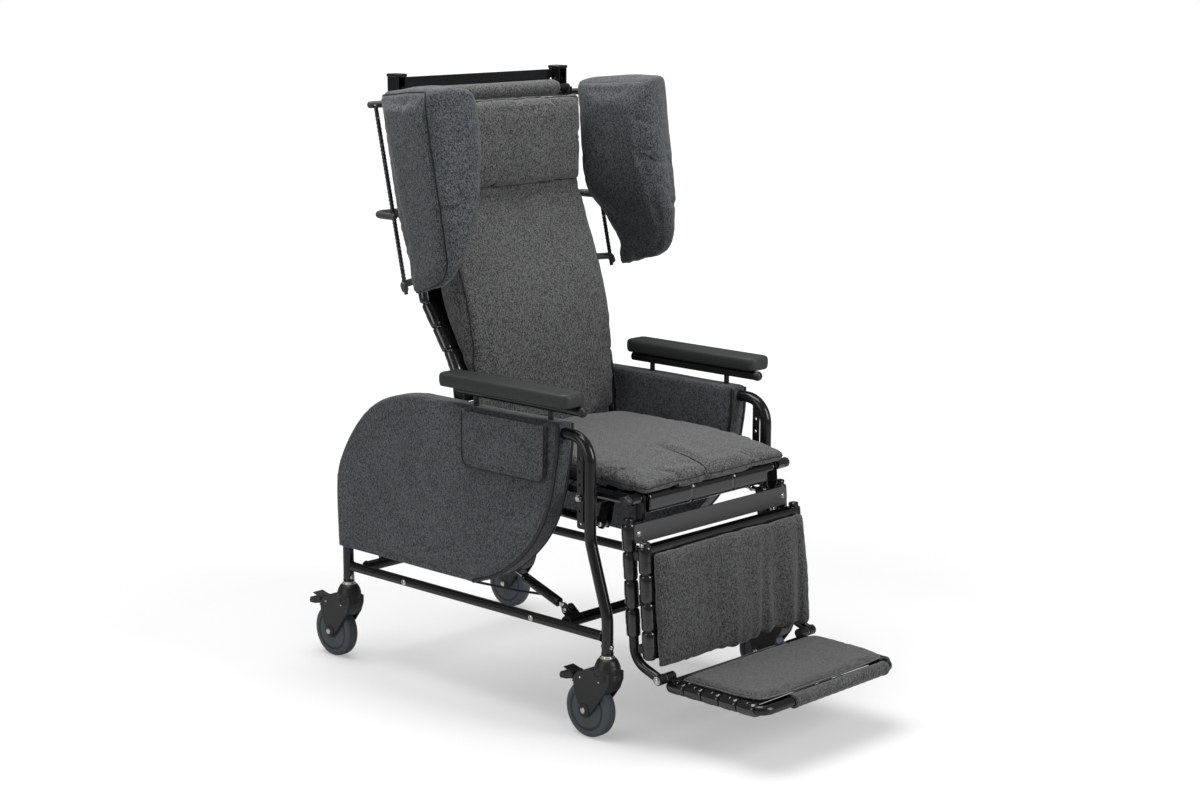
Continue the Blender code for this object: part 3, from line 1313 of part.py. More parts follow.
def build():
    clear_scene()
    bpy.context.scene.collection.children.link(PARTS)
    steel = material("black powder coat", (0.030, 0.031, 0.033), 0.38)
    zinc = material("zinc plated steel", (0.62, 0.62, 0.60), 0.32, 1.0)
    grey_plate = material("grey coated steel", (0.080, 0.085, 0.090), 0.45)
    fabric = material("charcoal woven fabric", (0.060, 0.064, 0.068), 0.92)
    panel_cloth = material("charcoal panel fabric", (0.052, 0.057, 0.066), 0.92)
    foam = material("black armrest foam", (0.022, 0.022, 0.024), 0.70)
    vinyl = material("glossy black strapping", (0.014, 0.014, 0.015), 0.16)
    nylon = material("black nylon", (0.026, 0.027, 0.029), 0.48)
    rubber = material("grey-blue tread", (0.085, 0.100, 0.110), 0.62)
    disc = material("charcoal wheel disc", (0.045, 0.047, 0.050), 0.50)
    seat_body = empty("seat_axis", (0, *TILT))
    back_body = empty("back_axis", (0, *RECLINE), seat_body)
    leg_body = empty("legrest_axis", (0, *KNEE), seat_body)
    foot_body = empty("footrest_axis", (0, *FOOT_HINGE), leg_body)
    for name, side in SIDES.items():
        piece(f"side_frame_{name}", side_frame(side * SIDE_X), steel)
        piece(f"lower_rail_{name}", lower_rail(side * SIDE_X), steel)
        piece(f"height_bar_{name}", height_bar(side), steel)
        piece(f"side_panel_{name}", side_panel(side), panel_cloth)
        piece(f"arm_tube_{name}", arm_tube(side), steel)
        piece(f"arm_pad_{name}", arm_pad(side), foam)
        piece(f"wing_{name}", wing(side), panel_cloth, back_body, 60)
        piece(f"pivot_knob_{name}", pivot_knob(side), nylon, seat_body)
    piece("side_pocket", side_pocket(RIGHT), panel_cloth)
    piece("front_cross_tube", front_cross_tube(), steel)
    piece("rear_cross_tube", rear_cross_tube(), steel)
    shapes = {"fork": (caster_fork(), nylon), "tyre": (caster_tyre(), rubber),
              "disc": (caster_disc(), disc),
              "pedal": (caster_pedal(), nylon)}
    for end, y in (("front", FRONT_STEM_Y), ("rear", REAR_STEM_Y)):
        for name, side in SIDES.items():
            spot = Vector((side * SIDE_X, y, 0))
            swivel = empty(f"swivel_axis_{end}_{name}", spot + Vector((0, 0, HOUSING_TOP)))
            axle = empty(f"axle_axis_{end}_{name}", spot + Vector((0, TRAIL, WHEEL_R)), swivel)
            lock = empty(f"lock_axis_{end}_{name}", spot + Vector((0, *PEDAL_AXIS)), swivel)
            holders = {"fork": swivel, "tyre": axle, "disc": axle, "pedal": lock}
            for kind, (mesh, finish) in shapes.items():
                piece(f"caster_{kind}_{end}_{name}", shifted(mesh, *spot), finish, holders[kind])
    piece("seat_frame", seat_frame(), vinyl, seat_body)
    piece("seat_cushion", seat_cushion(), fabric, seat_body, 60)
    piece("front_roll", front_roll(), vinyl, seat_body)
    piece("back_frame", back_frame(), vinyl, back_body)
    piece("back_cushion", back_cushion(), fabric, back_body, 60)
    piece("head_pillow", head_pillow(), fabric, back_body, 60)
    piece("top_roll", top_roll(), fabric, back_body)
    piece("push_bar", push_bar(), steel, back_body)
    piece("legrest_frame", legrest_frame(), vinyl, leg_body)
    piece("calf_frame", calf_frame(), vinyl, leg_body)
    piece("calf_pad", calf_pad(), fabric, leg_body, 60)
    piece("cross_plate", cross_plate(), grey_plate, leg_body)
    piece("foot_frame", foot_frame(), vinyl, foot_body)
    piece("foot_pad", foot_pad(), fabric, foot_body, 60)
    piece("foot_sleeve", foot_sleeve(), nylon, foot_body)
    springs = {"tilt": (TILT_SPRING, None), "recline": (RECLINE_SPRING, seat_body),
               "legrest": (LEG_SPRING, seat_body)}
    for name, (spring, carrier) in springs.items():
        holder = empty(f"{name}_spring_axis", (spring["x"], *spring["fixed"]), carrier)
        piece(f"{name}_cylinder", cylinder(spring), steel, holder)
        piece(f"{name}_rod", spring_rod(spring), zinc, holder)
    piece("release_cable", release_cable(), nylon)
    lever_body = empty("release_lever_axis", (CABLE_X, *LEVER_AXIS))
    piece("release_lever", release_lever(), zinc, lever_body)
    centre_on_box()


def centre_on_box():
    """Move the whole chair so that its box stands centred over the origin."""
    bpy.context.view_layer.update()
    lows, highs = Vector((1e9,) * 3), Vector((-1e9,) * 3)
    for item in PARTS.objects:
        if item.type != "MESH":
            continue
        for vert in item.data.vertices:
            place = item.matrix_world @ vert.co
            lows = Vector(map(min, lows, place))
            highs = Vector(map(max, highs, place))
    shift = -(lows + highs) / 2
    for item in ROOTS:
        item.location += Vector((0.0, shift.y, 0.0))
    bpy.context.view_layer.update()


build()
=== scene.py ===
import math

import bmesh
import bpy
from mathutils import Matrix, Vector, noise
from mathutils.bvhtree import BVHTree
from mathutils.kdtree import KDTree


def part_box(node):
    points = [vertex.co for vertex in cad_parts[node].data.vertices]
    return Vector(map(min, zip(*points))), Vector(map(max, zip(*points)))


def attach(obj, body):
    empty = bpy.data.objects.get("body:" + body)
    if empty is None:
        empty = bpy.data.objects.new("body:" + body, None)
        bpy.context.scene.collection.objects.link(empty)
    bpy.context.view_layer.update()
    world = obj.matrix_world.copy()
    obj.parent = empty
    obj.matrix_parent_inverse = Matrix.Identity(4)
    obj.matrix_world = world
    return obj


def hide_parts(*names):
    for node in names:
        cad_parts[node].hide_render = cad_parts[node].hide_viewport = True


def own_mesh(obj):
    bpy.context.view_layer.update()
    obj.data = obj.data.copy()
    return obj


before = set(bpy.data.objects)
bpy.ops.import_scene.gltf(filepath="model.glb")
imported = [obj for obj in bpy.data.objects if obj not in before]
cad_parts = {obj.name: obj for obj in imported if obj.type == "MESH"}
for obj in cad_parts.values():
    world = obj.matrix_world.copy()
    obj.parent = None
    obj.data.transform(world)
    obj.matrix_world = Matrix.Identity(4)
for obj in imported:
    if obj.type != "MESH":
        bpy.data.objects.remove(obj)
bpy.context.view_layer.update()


# The studio. The chair stands on a white seamless floor under a large soft box overhead, with two
# weaker ones at its sides, so its shadow is soft and pale and the tubes carry thin bright lines.

CAMERA_PLACE = (-3.741, -3.5474, 1.6794)
CAMERA_TURN, CAMERA_PITCH, CAMERA_ROLL = -46.4725, 11.186, 0.108    # degrees
LENS, FILM_WIDTH, FAR_CLIP = 70.077, 36.0, 90.0
# each panel: its place, what it points at, its width and height, and its power in watts
PANELS = {"overhead_panel": ((-0.3, 0.5, 3.6), (0.0, 0.0, 0.4), 2.8, 2.8, 122.0),
          "left_panel": ((-3.3, 0.45, 1.5), (0.0, 0.1, 0.8), 1.4, 2.0, 18.0),
          "right_panel": ((1.0, -3.6, 2.2), (0.0, 0.0, 0.8), 1.6, 2.4, 84.0)}
FLOOR_HALF = 40.0
FLOOR_COLOUR = 0.62
GLOW_NEAR, GLOW_FAR = 0.36, 1.0   # added for the camera round the chair, so that only its shadow is grey
GLOW_FROM, GLOW_TO = 1.2, 5.0     # metres from the middle of the chair
SKY_FILL, SKY_SEEN = 0.20, 1.0
WHITE = (1.0, 1.0, 1.0, 1.0)


def stood(name, data, matrix):
    """Stands a camera, a light or the floor in the studio."""
    item = bpy.data.objects.new(name, data)
    item.matrix_world = matrix
    bpy.context.scene.collection.objects.link(item)
    return item


def feed(tree, item, inputs):
    """Sets a node's inputs, each to a value or to another node's output."""
    for label, value in inputs.items():
        if isinstance(value, bpy.types.NodeSocket):
            tree.links.new(value, item.inputs[label])
        else:
            item.inputs[label].default_value = value


def wired(tree, kind, output=None, inputs=(), **settings):
    """A new node with its settings and inputs: one of its outputs, or the node itself."""
    item = tree.nodes.new(kind)
    for label, value in settings.items():
        setattr(item, label, value)
    feed(tree, item, dict(inputs))
    return item if output is None else item.outputs[output]


def maths(tree, operation, *values):
    return wired(tree, "ShaderNodeMath", "Value", enumerate(values), operation=operation)


def bare_tree(owner):
    owner.use_nodes = True
    owner.node_tree.nodes.clear()
    return owner.node_tree


camera = bpy.data.cameras.new("camera")
camera.lens, camera.sensor_width, camera.clip_end = LENS, FILM_WIDTH, FAR_CLIP
pan, tilt, roll = [Matrix.Rotation(math.radians(angle), 4, axis)
                   for angle, axis in ((CAMERA_TURN, "Z"), (90.0 - CAMERA_PITCH, "X"), (CAMERA_ROLL, "Z"))]
bpy.context.scene.camera = stood("camera", camera, Matrix.Translation(CAMERA_PLACE) @ (pan @ tilt) @ roll)

for name, (place, target, width, height, power) in PANELS.items():
    panel = bpy.data.lights.new(name, "AREA")
    panel.shape = "RECTANGLE"
    panel.size, panel.size_y, panel.energy = width, height, power
    away = Vector(place) - Vector(target)
    stood(name, panel, Matrix.Translation(place) @ away.to_track_quat("Z", "Y").to_matrix().to_4x4())

world = bpy.data.worlds.new("studio")
bpy.context.scene.world = world
tree = bare_tree(world)
fill, seen = [wired(tree, "ShaderNodeBackground", "Background", {"Color": WHITE, "Strength": strength})
              for strength in (SKY_FILL, SKY_SEEN)]
rays = wired(tree, "ShaderNodeLightPath", "Is Camera Ray")
sky = wired(tree, "ShaderNodeMixShader", "Shader", {"Fac": rays, 1: fill, 2: seen})
wired(tree, "ShaderNodeOutputWorld", None, {"Surface": sky})

floor_shape = bmesh.new()
bmesh.ops.create_grid(floor_shape, x_segments=1, y_segments=1, size=FLOOR_HALF)
floor_mesh = bpy.data.meshes.new("floor")
floor_shape.to_mesh(floor_mesh)
floor_shape.free()
floor = stood("floor", floor_mesh, Matrix())
floor_paint = bpy.data.materials.new("white floor")
tree = bare_tree(floor_paint)
reach = wired(tree, "ShaderNodeVectorMath", "Value", {0: wired(tree, "ShaderNodeTexCoord", "Object")},
              operation="LENGTH")
fade = wired(tree, "ShaderNodeMapRange", "Result", {"Value": reach, "From Min": GLOW_FROM, "From Max": GLOW_TO,
                                                    "To Min": GLOW_NEAR, "To Max": GLOW_FAR})
lift = maths(tree, "MULTIPLY", wired(tree, "ShaderNodeLightPath", "Is Camera Ray"), fade)
glow = wired(tree, "ShaderNodeEmission", "Emission", {"Color": WHITE, "Strength": lift})
matt = wired(tree, "ShaderNodeBsdfDiffuse", "BSDF", {"Color": (FLOOR_COLOUR, FLOOR_COLOUR, FLOOR_COLOUR, 1.0)})
both = wired(tree, "ShaderNodeAddShader", "Shader", {0: matt, 1: glow})
wired(tree, "ShaderNodeOutputMaterial", None, {"Surface": both})
floor_mesh.materials.append(floor_paint)
bpy.context.scene.view_settings.view_transform = "Standard"


# The release cable. A thin black cable in a plastic sheath leaves the tilt spring's end on the front
# cross tube, runs under the seat in shallow bends and goes into the lever's lug on the rear one.

ARM_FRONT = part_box("arm_pad_right")[0].y - 0.004    # lengths along Y are measured from here
CABLE_R = 0.0030
CABLE_X = -0.222
CABLE_BEND = 0.05
CABLE_ROUTE = ((0.0723, 0.234), (0.160, 0.262), (0.260, 0.252), (0.400, 0.246), (0.540, 0.252),
               (0.655, 0.270), (0.7171, 0.268))
BEND_STEP = math.radians(7)
SHARP_FROM = math.radians(35)      # edges bent more than this stay sharp


def rounded(corners, radii):
    """Points of a line through the corners, each inner one rounded to its radius."""
    corners = [Vector(p) for p in corners]
    line = [corners[0]]
    for before, corner, after, radius in zip(corners, corners[1:], corners[2:], radii):
        back = (before - corner).normalized()
        ahead = (after - corner).normalized()
        turn = math.pi - back.angle(ahead)
        reach = radius * math.tan(turn / 2)
        middle = corner + (back + ahead).normalized() * radius / math.cos(turn / 2)
        start = corner + back * reach - middle
        end = corner + ahead * reach - middle
        axis = start.cross(end).normalized()
        count = max(1, math.ceil(turn / BEND_STEP))
        line += [middle + Matrix.Rotation(turn * k / count, 3, axis) @ start for k in range(count + 1)]
    return line + [corners[-1]]


def side_line(x, pairs, radii):
    """A line in the side view, drawn from (y, z) pairs, in the chair's frame."""
    return rounded([(x, ARM_FRONT + y, z) for y, z in pairs], radii)


def curve_of(name, line):
    curve = bpy.data.curves.new(name, "CURVE")
    curve.dimensions = "3D"
    spline = curve.splines.new("POLY")
    spline.points.add(len(line) - 1)
    for point, place in zip(spline.points, line):
        point.co = (*place, 1.0)
    return curve


def shader_group(name, inputs, outputs):
    """An empty shader group with its sockets, its inputs and its outlet."""
    group = bpy.data.node_groups.new(name, "ShaderNodeTree")
    for label, value in inputs.items():
        group.interface.new_socket(label, in_out="INPUT", socket_type="NodeSocketFloat").default_value = value
    for label in outputs:
        group.interface.new_socket(label, in_out="OUTPUT", socket_type="NodeSocketFloat")
    return group, group.nodes.new("NodeGroupInput").outputs, group.nodes.new("NodeGroupOutput")


def cloudy(tree, place, scale, detail=2.0, rough=0.5):
    """Soft random values from 0 to 1; the scale is a number or a socket."""
    return wired(tree, "ShaderNodeTexNoise", "Fac", {"Vector": place, "Scale": scale, "Detail": detail,
                                                     "Roughness": rough})


def times(tree, colour, factor):
    """A colour darkened or lightened by a value."""
    return wired(tree, "ShaderNodeVectorMath", "Vector", {0: colour, "Scale": factor}, operation="SCALE")


def between(tree, factor, low, high):
    """A mix of two colours; each is a tuple or a socket."""
    low, high = [(*value, 1.0) if isinstance(value, tuple) else value for value in (low, high)]
    return wired(tree, "ShaderNodeMix", 2, {"Factor": factor, 6: low, 7: high}, data_type="RGBA")


def spread(tree, value, low, high):
    """A 0 to 1 value stretched to run from low to high."""
    return wired(tree, "ShaderNodeMapRange", "Result", {"Value": value, "To Min": low, "To Max": high})


def grain_group():
    """Moulded or sprayed skin: a fine pebble for the bump, and slow changes of tone and gloss."""
    group, inlet, outlet = shader_group("skin grain", {"Pebbles per metre": 900.0, "Tone spread": 0.3},
                                        ("Height", "Tone", "Gloss"))
    place = wired(group, "ShaderNodeTexCoord", "Object")
    slow = maths(group, "SUBTRACT", cloudy(group, place, 9.0, 4.0), 0.5)
    feed(group, outlet, {"Height": cloudy(group, place, inlet["Pebbles per metre"], 3.0),
                         "Tone": maths(group, "ADD", maths(group, "MULTIPLY", slow, inlet["Tone spread"]), 1.0),
                         "Gloss": cloudy(group, place, 38.0, 5.0, 0.62)})
    return group


def wear_group():
    """Rubbed edges: white where the shape turns outwards, broken up by noise."""
    group, inlet, outlet = shader_group("rubbed edges", {"Amount": 1.0}, ("Mask",))
    place = wired(group, "ShaderNodeTexCoord", "Object")
    shape = wired(group, "ShaderNodeNewGeometry", "Pointiness")
    edge = maths(group, "MULTIPLY", maths(group, "SUBTRACT", shape, 0.52), 9.0)
    broken = maths(group, "MULTIPLY", edge, cloudy(group, place, 120.0, 4.0))
    held = wired(group, "ShaderNodeClamp", "Result", {"Value": maths(group, "MULTIPLY", broken, inlet["Amount"])})
    feed(group, outlet, {"Mask": held})
    return group


GRAIN = grain_group()
WEAR = wear_group()


def finished(paint, shader_inputs, colour, height, relief):
    """Closes a material: its shader's values, its colour and its bump."""
    tree = paint.node_tree
    bump = wired(tree, "ShaderNodeBump", "Normal", {"Distance": relief, "Height": height})
    feed(tree, tree.nodes["Principled BSDF"], {**shader_inputs, "Base Color": colour, "Normal": bump})
    return paint


def hard_skin(name, colour, gloss, metallic=0.0, coat=0.0, pebbles=900.0, pebble_height=0.00002, worn=None,
              worn_amount=0.0, tone_spread=0.3, specular=0.5):
    """A material for metal, paint and plastic; gloss is the lowest and highest roughness."""
    paint = bpy.data.materials.new(name)
    paint.use_nodes = True
    tree = paint.node_tree
    skin = wired(tree, "ShaderNodeGroup", None, {"Pebbles per metre": pebbles, "Tone spread": tone_spread},
                 node_tree=GRAIN).outputs
    toned = times(tree, colour, skin["Tone"])
    if worn:
        rubbed = wired(tree, "ShaderNodeGroup", "Mask", {"Amount": worn_amount}, node_tree=WEAR)
        toned = between(tree, rubbed, toned, worn)
    values = {"Metallic": metallic, "Coat Weight": coat, "Coat Roughness": 0.06, "Specular IOR Level": specular,
              "Roughness": spread(tree, skin["Gloss"], *gloss)}
    return finished(paint, values, toned, skin["Height"], pebble_height)


def placed(name, data, body, paint, slot, *nodes):
    """Hands a finished mesh or curve over to the frame: its finish, body and the CAD nodes that it replaces."""
    item = bpy.data.objects.new(name, data)
    data.materials.clear()
    data.materials.append(paint)
    bpy.context.scene.collection.objects.link(item)
    if isinstance(data, bpy.types.Mesh):
        data.name = name
        data.polygons.foreach_set("use_smooth", [True] * len(data.polygons))
        data.set_sharp_from_angle(angle=SHARP_FROM)
    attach(item, body)
    if nodes:
        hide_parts(*nodes)
    return item


NYLON = hard_skin("black nylon", (0.009, 0.0095, 0.0105), (0.34, 0.50), pebbles=1500.0,
                  worn=(0.05, 0.05, 0.055), worn_amount=0.3)
MOULDED = (NYLON, "black_nylon")

cable_line = side_line(CABLE_X, CABLE_ROUTE, [CABLE_BEND] * (len(CABLE_ROUTE) - 2))
cable = curve_of("release_cable_run", cable_line)
cable.bevel_depth = CABLE_R
cable.bevel_resolution = 4
cable.use_fill_caps = True
cable_piece = placed("release_cable_run", cable, "base", *MOULDED, "release_cable")


# The side frames. Each is one 25 mm steel tube, bent from the rear caster stem over the armrest line
# and down the front leg, with a lower rail welded in and coated satin black after welding.

SIDES = {"right": -1, "left": 1}
BOTH = (-1, 1)
UP = (0, 0, 1)
SIDE_X = 0.288
TUBE_R = 0.0127
TUBE_SIDES = 28
STEM_TOP = 0.1903
REAR_STEM_Y, FRONT_STEM_Y = 0.766, -0.073
FRONT_LEG_Y, ARCH_TOP, FRONT_BEND = -0.0225, 0.652, 0.055
ARCH = ((REAR_STEM_Y, STEM_TOP), (REAR_STEM_Y, 0.455), (0.605, ARCH_TOP), (FRONT_LEG_Y, ARCH_TOP),
        (FRONT_LEG_Y, 0.432), (FRONT_STEM_Y, 0.272), (FRONT_STEM_Y, STEM_TOP))
ARCH_RADII = (0.10, 0.10, FRONT_BEND, 0.09, 0.09)
RAIL_R, RAIL_Z = 0.011, 0.2285
CROSS_R, CROSS_Z = 0.0125, 0.2325
FRONT_CROSS_Y, REAR_CROSS_Y = 0.060, 0.715
BEAD_R, BEAD_RIPPLE = 0.0021, 0.0005
BEAD_STEPS, BEAD_SIDES = 48, 8

POWDER_COAT = hard_skin("black powder coat", (0.007, 0.0075, 0.008), (0.14, 0.26), pebbles=650.0,
                        pebble_height=0.00005, worn=(0.05, 0.05, 0.05), worn_amount=0.25)
COATED = (POWDER_COAT, "black_powder_coat")
ZINC = hard_skin("zinc plated steel", (0.66, 0.66, 0.64), (0.16, 0.34), metallic=1.0, pebbles=500.0,
                 pebble_height=0.00001, tone_spread=0.5)
BRIGHT = (ZINC, "zinc_plated")


def at(x, y, z):
    """A point of the chair, its length measured from the front of the armrest tubes."""
    return Vector((x, ARM_FRONT + y, z))


def ring_frame(ahead, last=None):
    """Two directions square to a line, kept as near as can be to the ones before."""
    normal = last if last is not None else ahead.orthogonal()
    normal = (normal - ahead * normal.dot(ahead)).normalized()
    return normal, ahead.cross(normal)


def outwards(square, angle):
    return square[0] * math.cos(angle) + square[1] * math.sin(angle)


def solid(work):
    bmesh.ops.recalc_face_normals(work, faces=work.faces)
    mesh = bpy.data.meshes.new("solid")
    work.to_mesh(mesh)
    work.free()
    return mesh


def skinned(work, rings):
    """A skin over rings of points, closed at both ends."""
    for low, high in zip(rings, rings[1:]):
        for n in range(len(low)):
            m = (n + 1) % len(low)
            work.faces.new((low[n], low[m], high[m], high[n]))
    work.faces.new(rings[0][::-1])
    work.faces.new(rings[-1])
    return solid(work)


def sweep(points, radii, sides=TUBE_SIDES, flat=None):
    """A round bar along points, with one radius or one for each point; flat squeezes it along a direction."""
    points = [Vector(p) for p in points]
    if not hasattr(radii, "__len__"):
        radii = [radii] * len(points)
    work = bmesh.new()
    rings = []
    square = (None, None)
    for k, (point, radius) in enumerate(zip(points, radii)):
        ahead = (points[min(k + 1, len(points) - 1)] - points[max(k - 1, 0)]).normalized()
        square = ring_frame(ahead, square[0])
        ring = []
        for n in range(sides):
            out = outwards(square, 2 * math.pi * n / sides) * radius
            if flat:
                out -= flat[0] * out.dot(flat[0]) * flat[1]
            ring.append(work.verts.new(point + out))
        rings.append(ring)
    return skinned(work, rings)


def rod(start, end, radius, sides=TUBE_SIDES):
    return sweep([at(*start), at(*end)], radius, sides)


def crossbar(half, y, z, radius, sides=TUBE_SIDES):
    """A round bar from side to side."""
    return rod((-half, y, z), (half, y, z), radius, sides)


def spindle(foot, ahead, profile, sides=TUBE_SIDES):
    """A turned part on an axis: the profile is (distance from the foot, radius) pairs."""
    foot, ahead = Vector(foot), Vector(ahead).normalized()
    square = ring_frame(ahead)
    turns = [2 * math.pi * n / sides for n in range(sides)]
    work = bmesh.new()
    rings = [[work.verts.new(foot + ahead * reach + outwards(square, t) * radius) for t in turns]
             for reach, radius in profile]
    return skinned(work, rings)


def domed(radius, height):
    """Profile of a dome head, from its rim to its crown."""
    steps = [math.radians(15 * k) for k in range(7)]
    return [(0.0, 0.0002), (0.0, radius)] + [(height * math.sin(a), max(radius * math.cos(a), 0.0002))
                                             for a in steps]


def joined(meshes):
    """One mesh out of several closed shells."""
    work = bmesh.new()
    for mesh in meshes:
        work.from_mesh(mesh)
        bpy.data.meshes.remove(mesh)
    mesh = bpy.data.meshes.new("joined")
    work.to_mesh(mesh)
    work.free()
    return mesh


def weld_bead(middle, axis, radius, seed):
    """The rippled ring of weld where a tube of that radius ends against another one."""
    middle, axis = Vector(middle), Vector(axis).normalized()
    square = ring_frame(axis)
    work = bmesh.new()
    rings = []
    for n in range(BEAD_STEPS):
        out = outwards(square, 2 * math.pi * n / BEAD_STEPS)
        swell = BEAD_R + BEAD_RIPPLE * math.sin(n * 2.1 + seed) * 0.5 + BEAD_RIPPLE * math.sin(n * 0.9 + seed * 3)
        turns = [2 * math.pi * m / BEAD_SIDES for m in range(BEAD_SIDES)]
        rings.append([work.verts.new(middle + out * (radius + swell * math.cos(turn) * 0.8)
                                     + axis * swell * math.sin(turn)) for turn in turns])
    for n, low in enumerate(rings):
        high = rings[(n + 1) % BEAD_STEPS]
        for m in range(BEAD_SIDES):
            ahead = (m + 1) % BEAD_SIDES
            work.faces.new((low[m], low[ahead], high[ahead], high[m]))
    return solid(work)


ARCH_LINE = side_line(0.0, ARCH, ARCH_RADII)
COLLAR = ((0.0, TUBE_R), (0.0, TUBE_R + 0.0007), (0.006, TUBE_R + 0.0007), (0.0075, TUBE_R - 0.0002))
for side_name, side in SIDES.items():
    x = side * SIDE_X
    arch = sweep([p + Vector((x, 0, 0)) for p in ARCH_LINE], TUBE_R)
    collars = [spindle(at(x, y, STEM_TOP), UP, COLLAR) for y in (FRONT_STEM_Y, REAR_STEM_Y)]
    placed(f"arch_{side_name}", joined([arch, *collars]), "base", *COATED, f"side_frame_{side_name}")
    start, end = FRONT_STEM_Y + TUBE_R, REAR_STEM_Y - TUBE_R
    rail = rod((x, start - 0.002, RAIL_Z), (x, end + 0.002, RAIL_Z), RAIL_R)
    beads = [weld_bead(at(x, y, RAIL_Z), (0, 1, 0), RAIL_R, seed) for y, seed in ((start + 0.0006, 1.0),
                                                                                 (end - 0.0006, 2.3))]
    placed(f"rail_{side_name}", joined([rail, *beads]), "base", *COATED, f"lower_rail_{side_name}")

# The cross tubes lie between the lower rails. The front one carries the ears of the tilt spring, the rear
# one the lug of the release lever; both are welded and coated with the frame.

EAR_GAP, EAR_T = 0.0065, 0.004
TILT_X, TILT_FIXED = -0.244, (0.085, 0.250)
LEVER_AXIS = (0.730, 0.272)
LUG_R, LUG_HALF = 0.010, 0.004


def arc(y, z, radius, count, start, turn):
    angles = [start + turn * k / (count - 1) for k in range(count)]
    return [(y + radius * math.cos(a), z + radius * math.sin(a)) for a in angles]


def band(first, r1, second, r2, count=16):
    """Outline of a link plate with round ends about two centres."""
    (y1, z1), (y2, z2) = first, second
    along = math.atan2(z2 - z1, y2 - y1)
    lean = math.acos(max(-1.0, min(1.0, (r1 - r2) / math.hypot(y2 - y1, z2 - z1))))
    return (arc(y1, z1, r1, count, along + lean, 2 * math.pi - 2 * lean)
            + arc(y2, z2, r2, count, along - lean, 2 * lean))


def plate(outline, x0, x1, edge=0.0006, segments=2):
    """A plate cut to an outline in the side view, from x0 to x1, with rounded rims."""
    low, high = min(x0, x1), max(x0, x1)
    work = bmesh.new()
    face = work.faces.new([work.verts.new(at(low, y, z)) for y, z in outline])
    grown = bmesh.ops.extrude_face_region(work, geom=[face])
    moved = [item for item in grown["geom"] if isinstance(item, bmesh.types.BMVert)]
    bmesh.ops.translate(work, verts=moved, vec=(high - low, 0, 0))
    if edge:
        rims = [e for e in work.edges if abs(e.verts[0].co.x - e.verts[1].co.x) < 1e-9]
        bmesh.ops.bevel(work, geom=rims, offset=edge, segments=segments, affect="EDGES", clamp_overlap=True)
    return solid(work)


def spring_ears(x, pin, root, root_r, ear_r=0.012):
    """Two plates that hold a spring's eye between them, and the pin's heads outside."""
    shapes = []
    for side in BOTH:
        near = x + side * EAR_GAP
        shapes.append(plate(band(pin, ear_r, root, root_r), near, near + side * EAR_T))
        shapes.append(spindle(at(near + side * (EAR_T - 0.0002), *pin), (side, 0, 0), domed(0.0052, 0.0026)))
    return shapes


half = SIDE_X - RAIL_R + 0.002
lug = plate(band(LEVER_AXIS, LUG_R, (REAR_CROSS_Y, CROSS_Z), LUG_R), CABLE_X - LUG_HALF, CABLE_X + LUG_HALF)
cross_tubes = {"front": (FRONT_CROSS_Y, spring_ears(TILT_X, TILT_FIXED, (FRONT_CROSS_Y, CROSS_Z), 0.010)),
               "rear": (REAR_CROSS_Y, [lug])}
for place_name, (y, held) in cross_tubes.items():
    beads = [weld_bead(at(side * (half - 0.0035), y, CROSS_Z), (1, 0, 0), CROSS_R, y * 9 + side) for side in BOTH]
    placed(f"cross_tube_{place_name}", joined([crossbar(half, y, CROSS_Z, CROSS_R), *held, *beads]), "base",
           *COATED, f"{place_name}_cross_tube")

# The bolts of the base: dome screws through the lower rails and stems, zinc plated. They stand on the
# tubes with their axes square to them.

BOLT_HEAD_R, BOLT_HEAD_H = 0.0048, 0.0026
BOLT_SUNK = 0.0004
RAIL_BOLTS = (0.147, 0.560)
STEM_BOLTS = ((FRONT_STEM_Y, 0.2083), (REAR_STEM_Y, 0.2015))


def sockets(tree, wanted):
    """The inputs that a geometry tree gets besides its geometry."""
    tree.interface.new_socket("Geometry", in_out="INPUT", socket_type="NodeSocketGeometry")
    for label, kind in wanted.items():
        tree.interface.new_socket(label, in_out="INPUT", socket_type=f"NodeSocket{kind}")
    tree.interface.new_socket("Geometry", in_out="OUTPUT", socket_type="NodeSocketGeometry")
    return tree.nodes.new("NodeGroupInput").outputs


def finish_tree(tree, copies, finish):
    """Closes a geometry tree: real copies with their finish."""
    real = wired(tree, "GeometryNodeRealizeInstances", "Geometry", {"Geometry": copies})
    painted = wired(tree, "GeometryNodeSetMaterial", "Geometry", {"Geometry": real, "Material": finish})
    wired(tree, "NodeGroupOutput", None, {"Geometry": painted})
    return tree


def fastener_tree():
    """One fastener on each point of a mesh, its Z along the point's own direction."""
    tree = bpy.data.node_groups.new("fasteners on points", "GeometryNodeTree")
    inlet = sockets(tree, {"Fastener": "Object", "Size": "Float", "Finish": "Material"})
    part = wired(tree, "GeometryNodeObjectInfo", "Geometry", {"Object": inlet["Fastener"]})
    aim = wired(tree, "GeometryNodeInputNamedAttribute", "Attribute", {"Name": "aim"}, data_type="FLOAT_VECTOR")
    turn = wired(tree, "FunctionNodeAlignRotationToVector", "Rotation", {"Vector": aim}, axis="Z")
    put = wired(tree, "GeometryNodeInstanceOnPoints", "Instances",
                {"Points": inlet["Geometry"], "Instance": part, "Rotation": turn, "Scale": inlet["Size"]})
    return finish_tree(tree, put, inlet["Finish"])


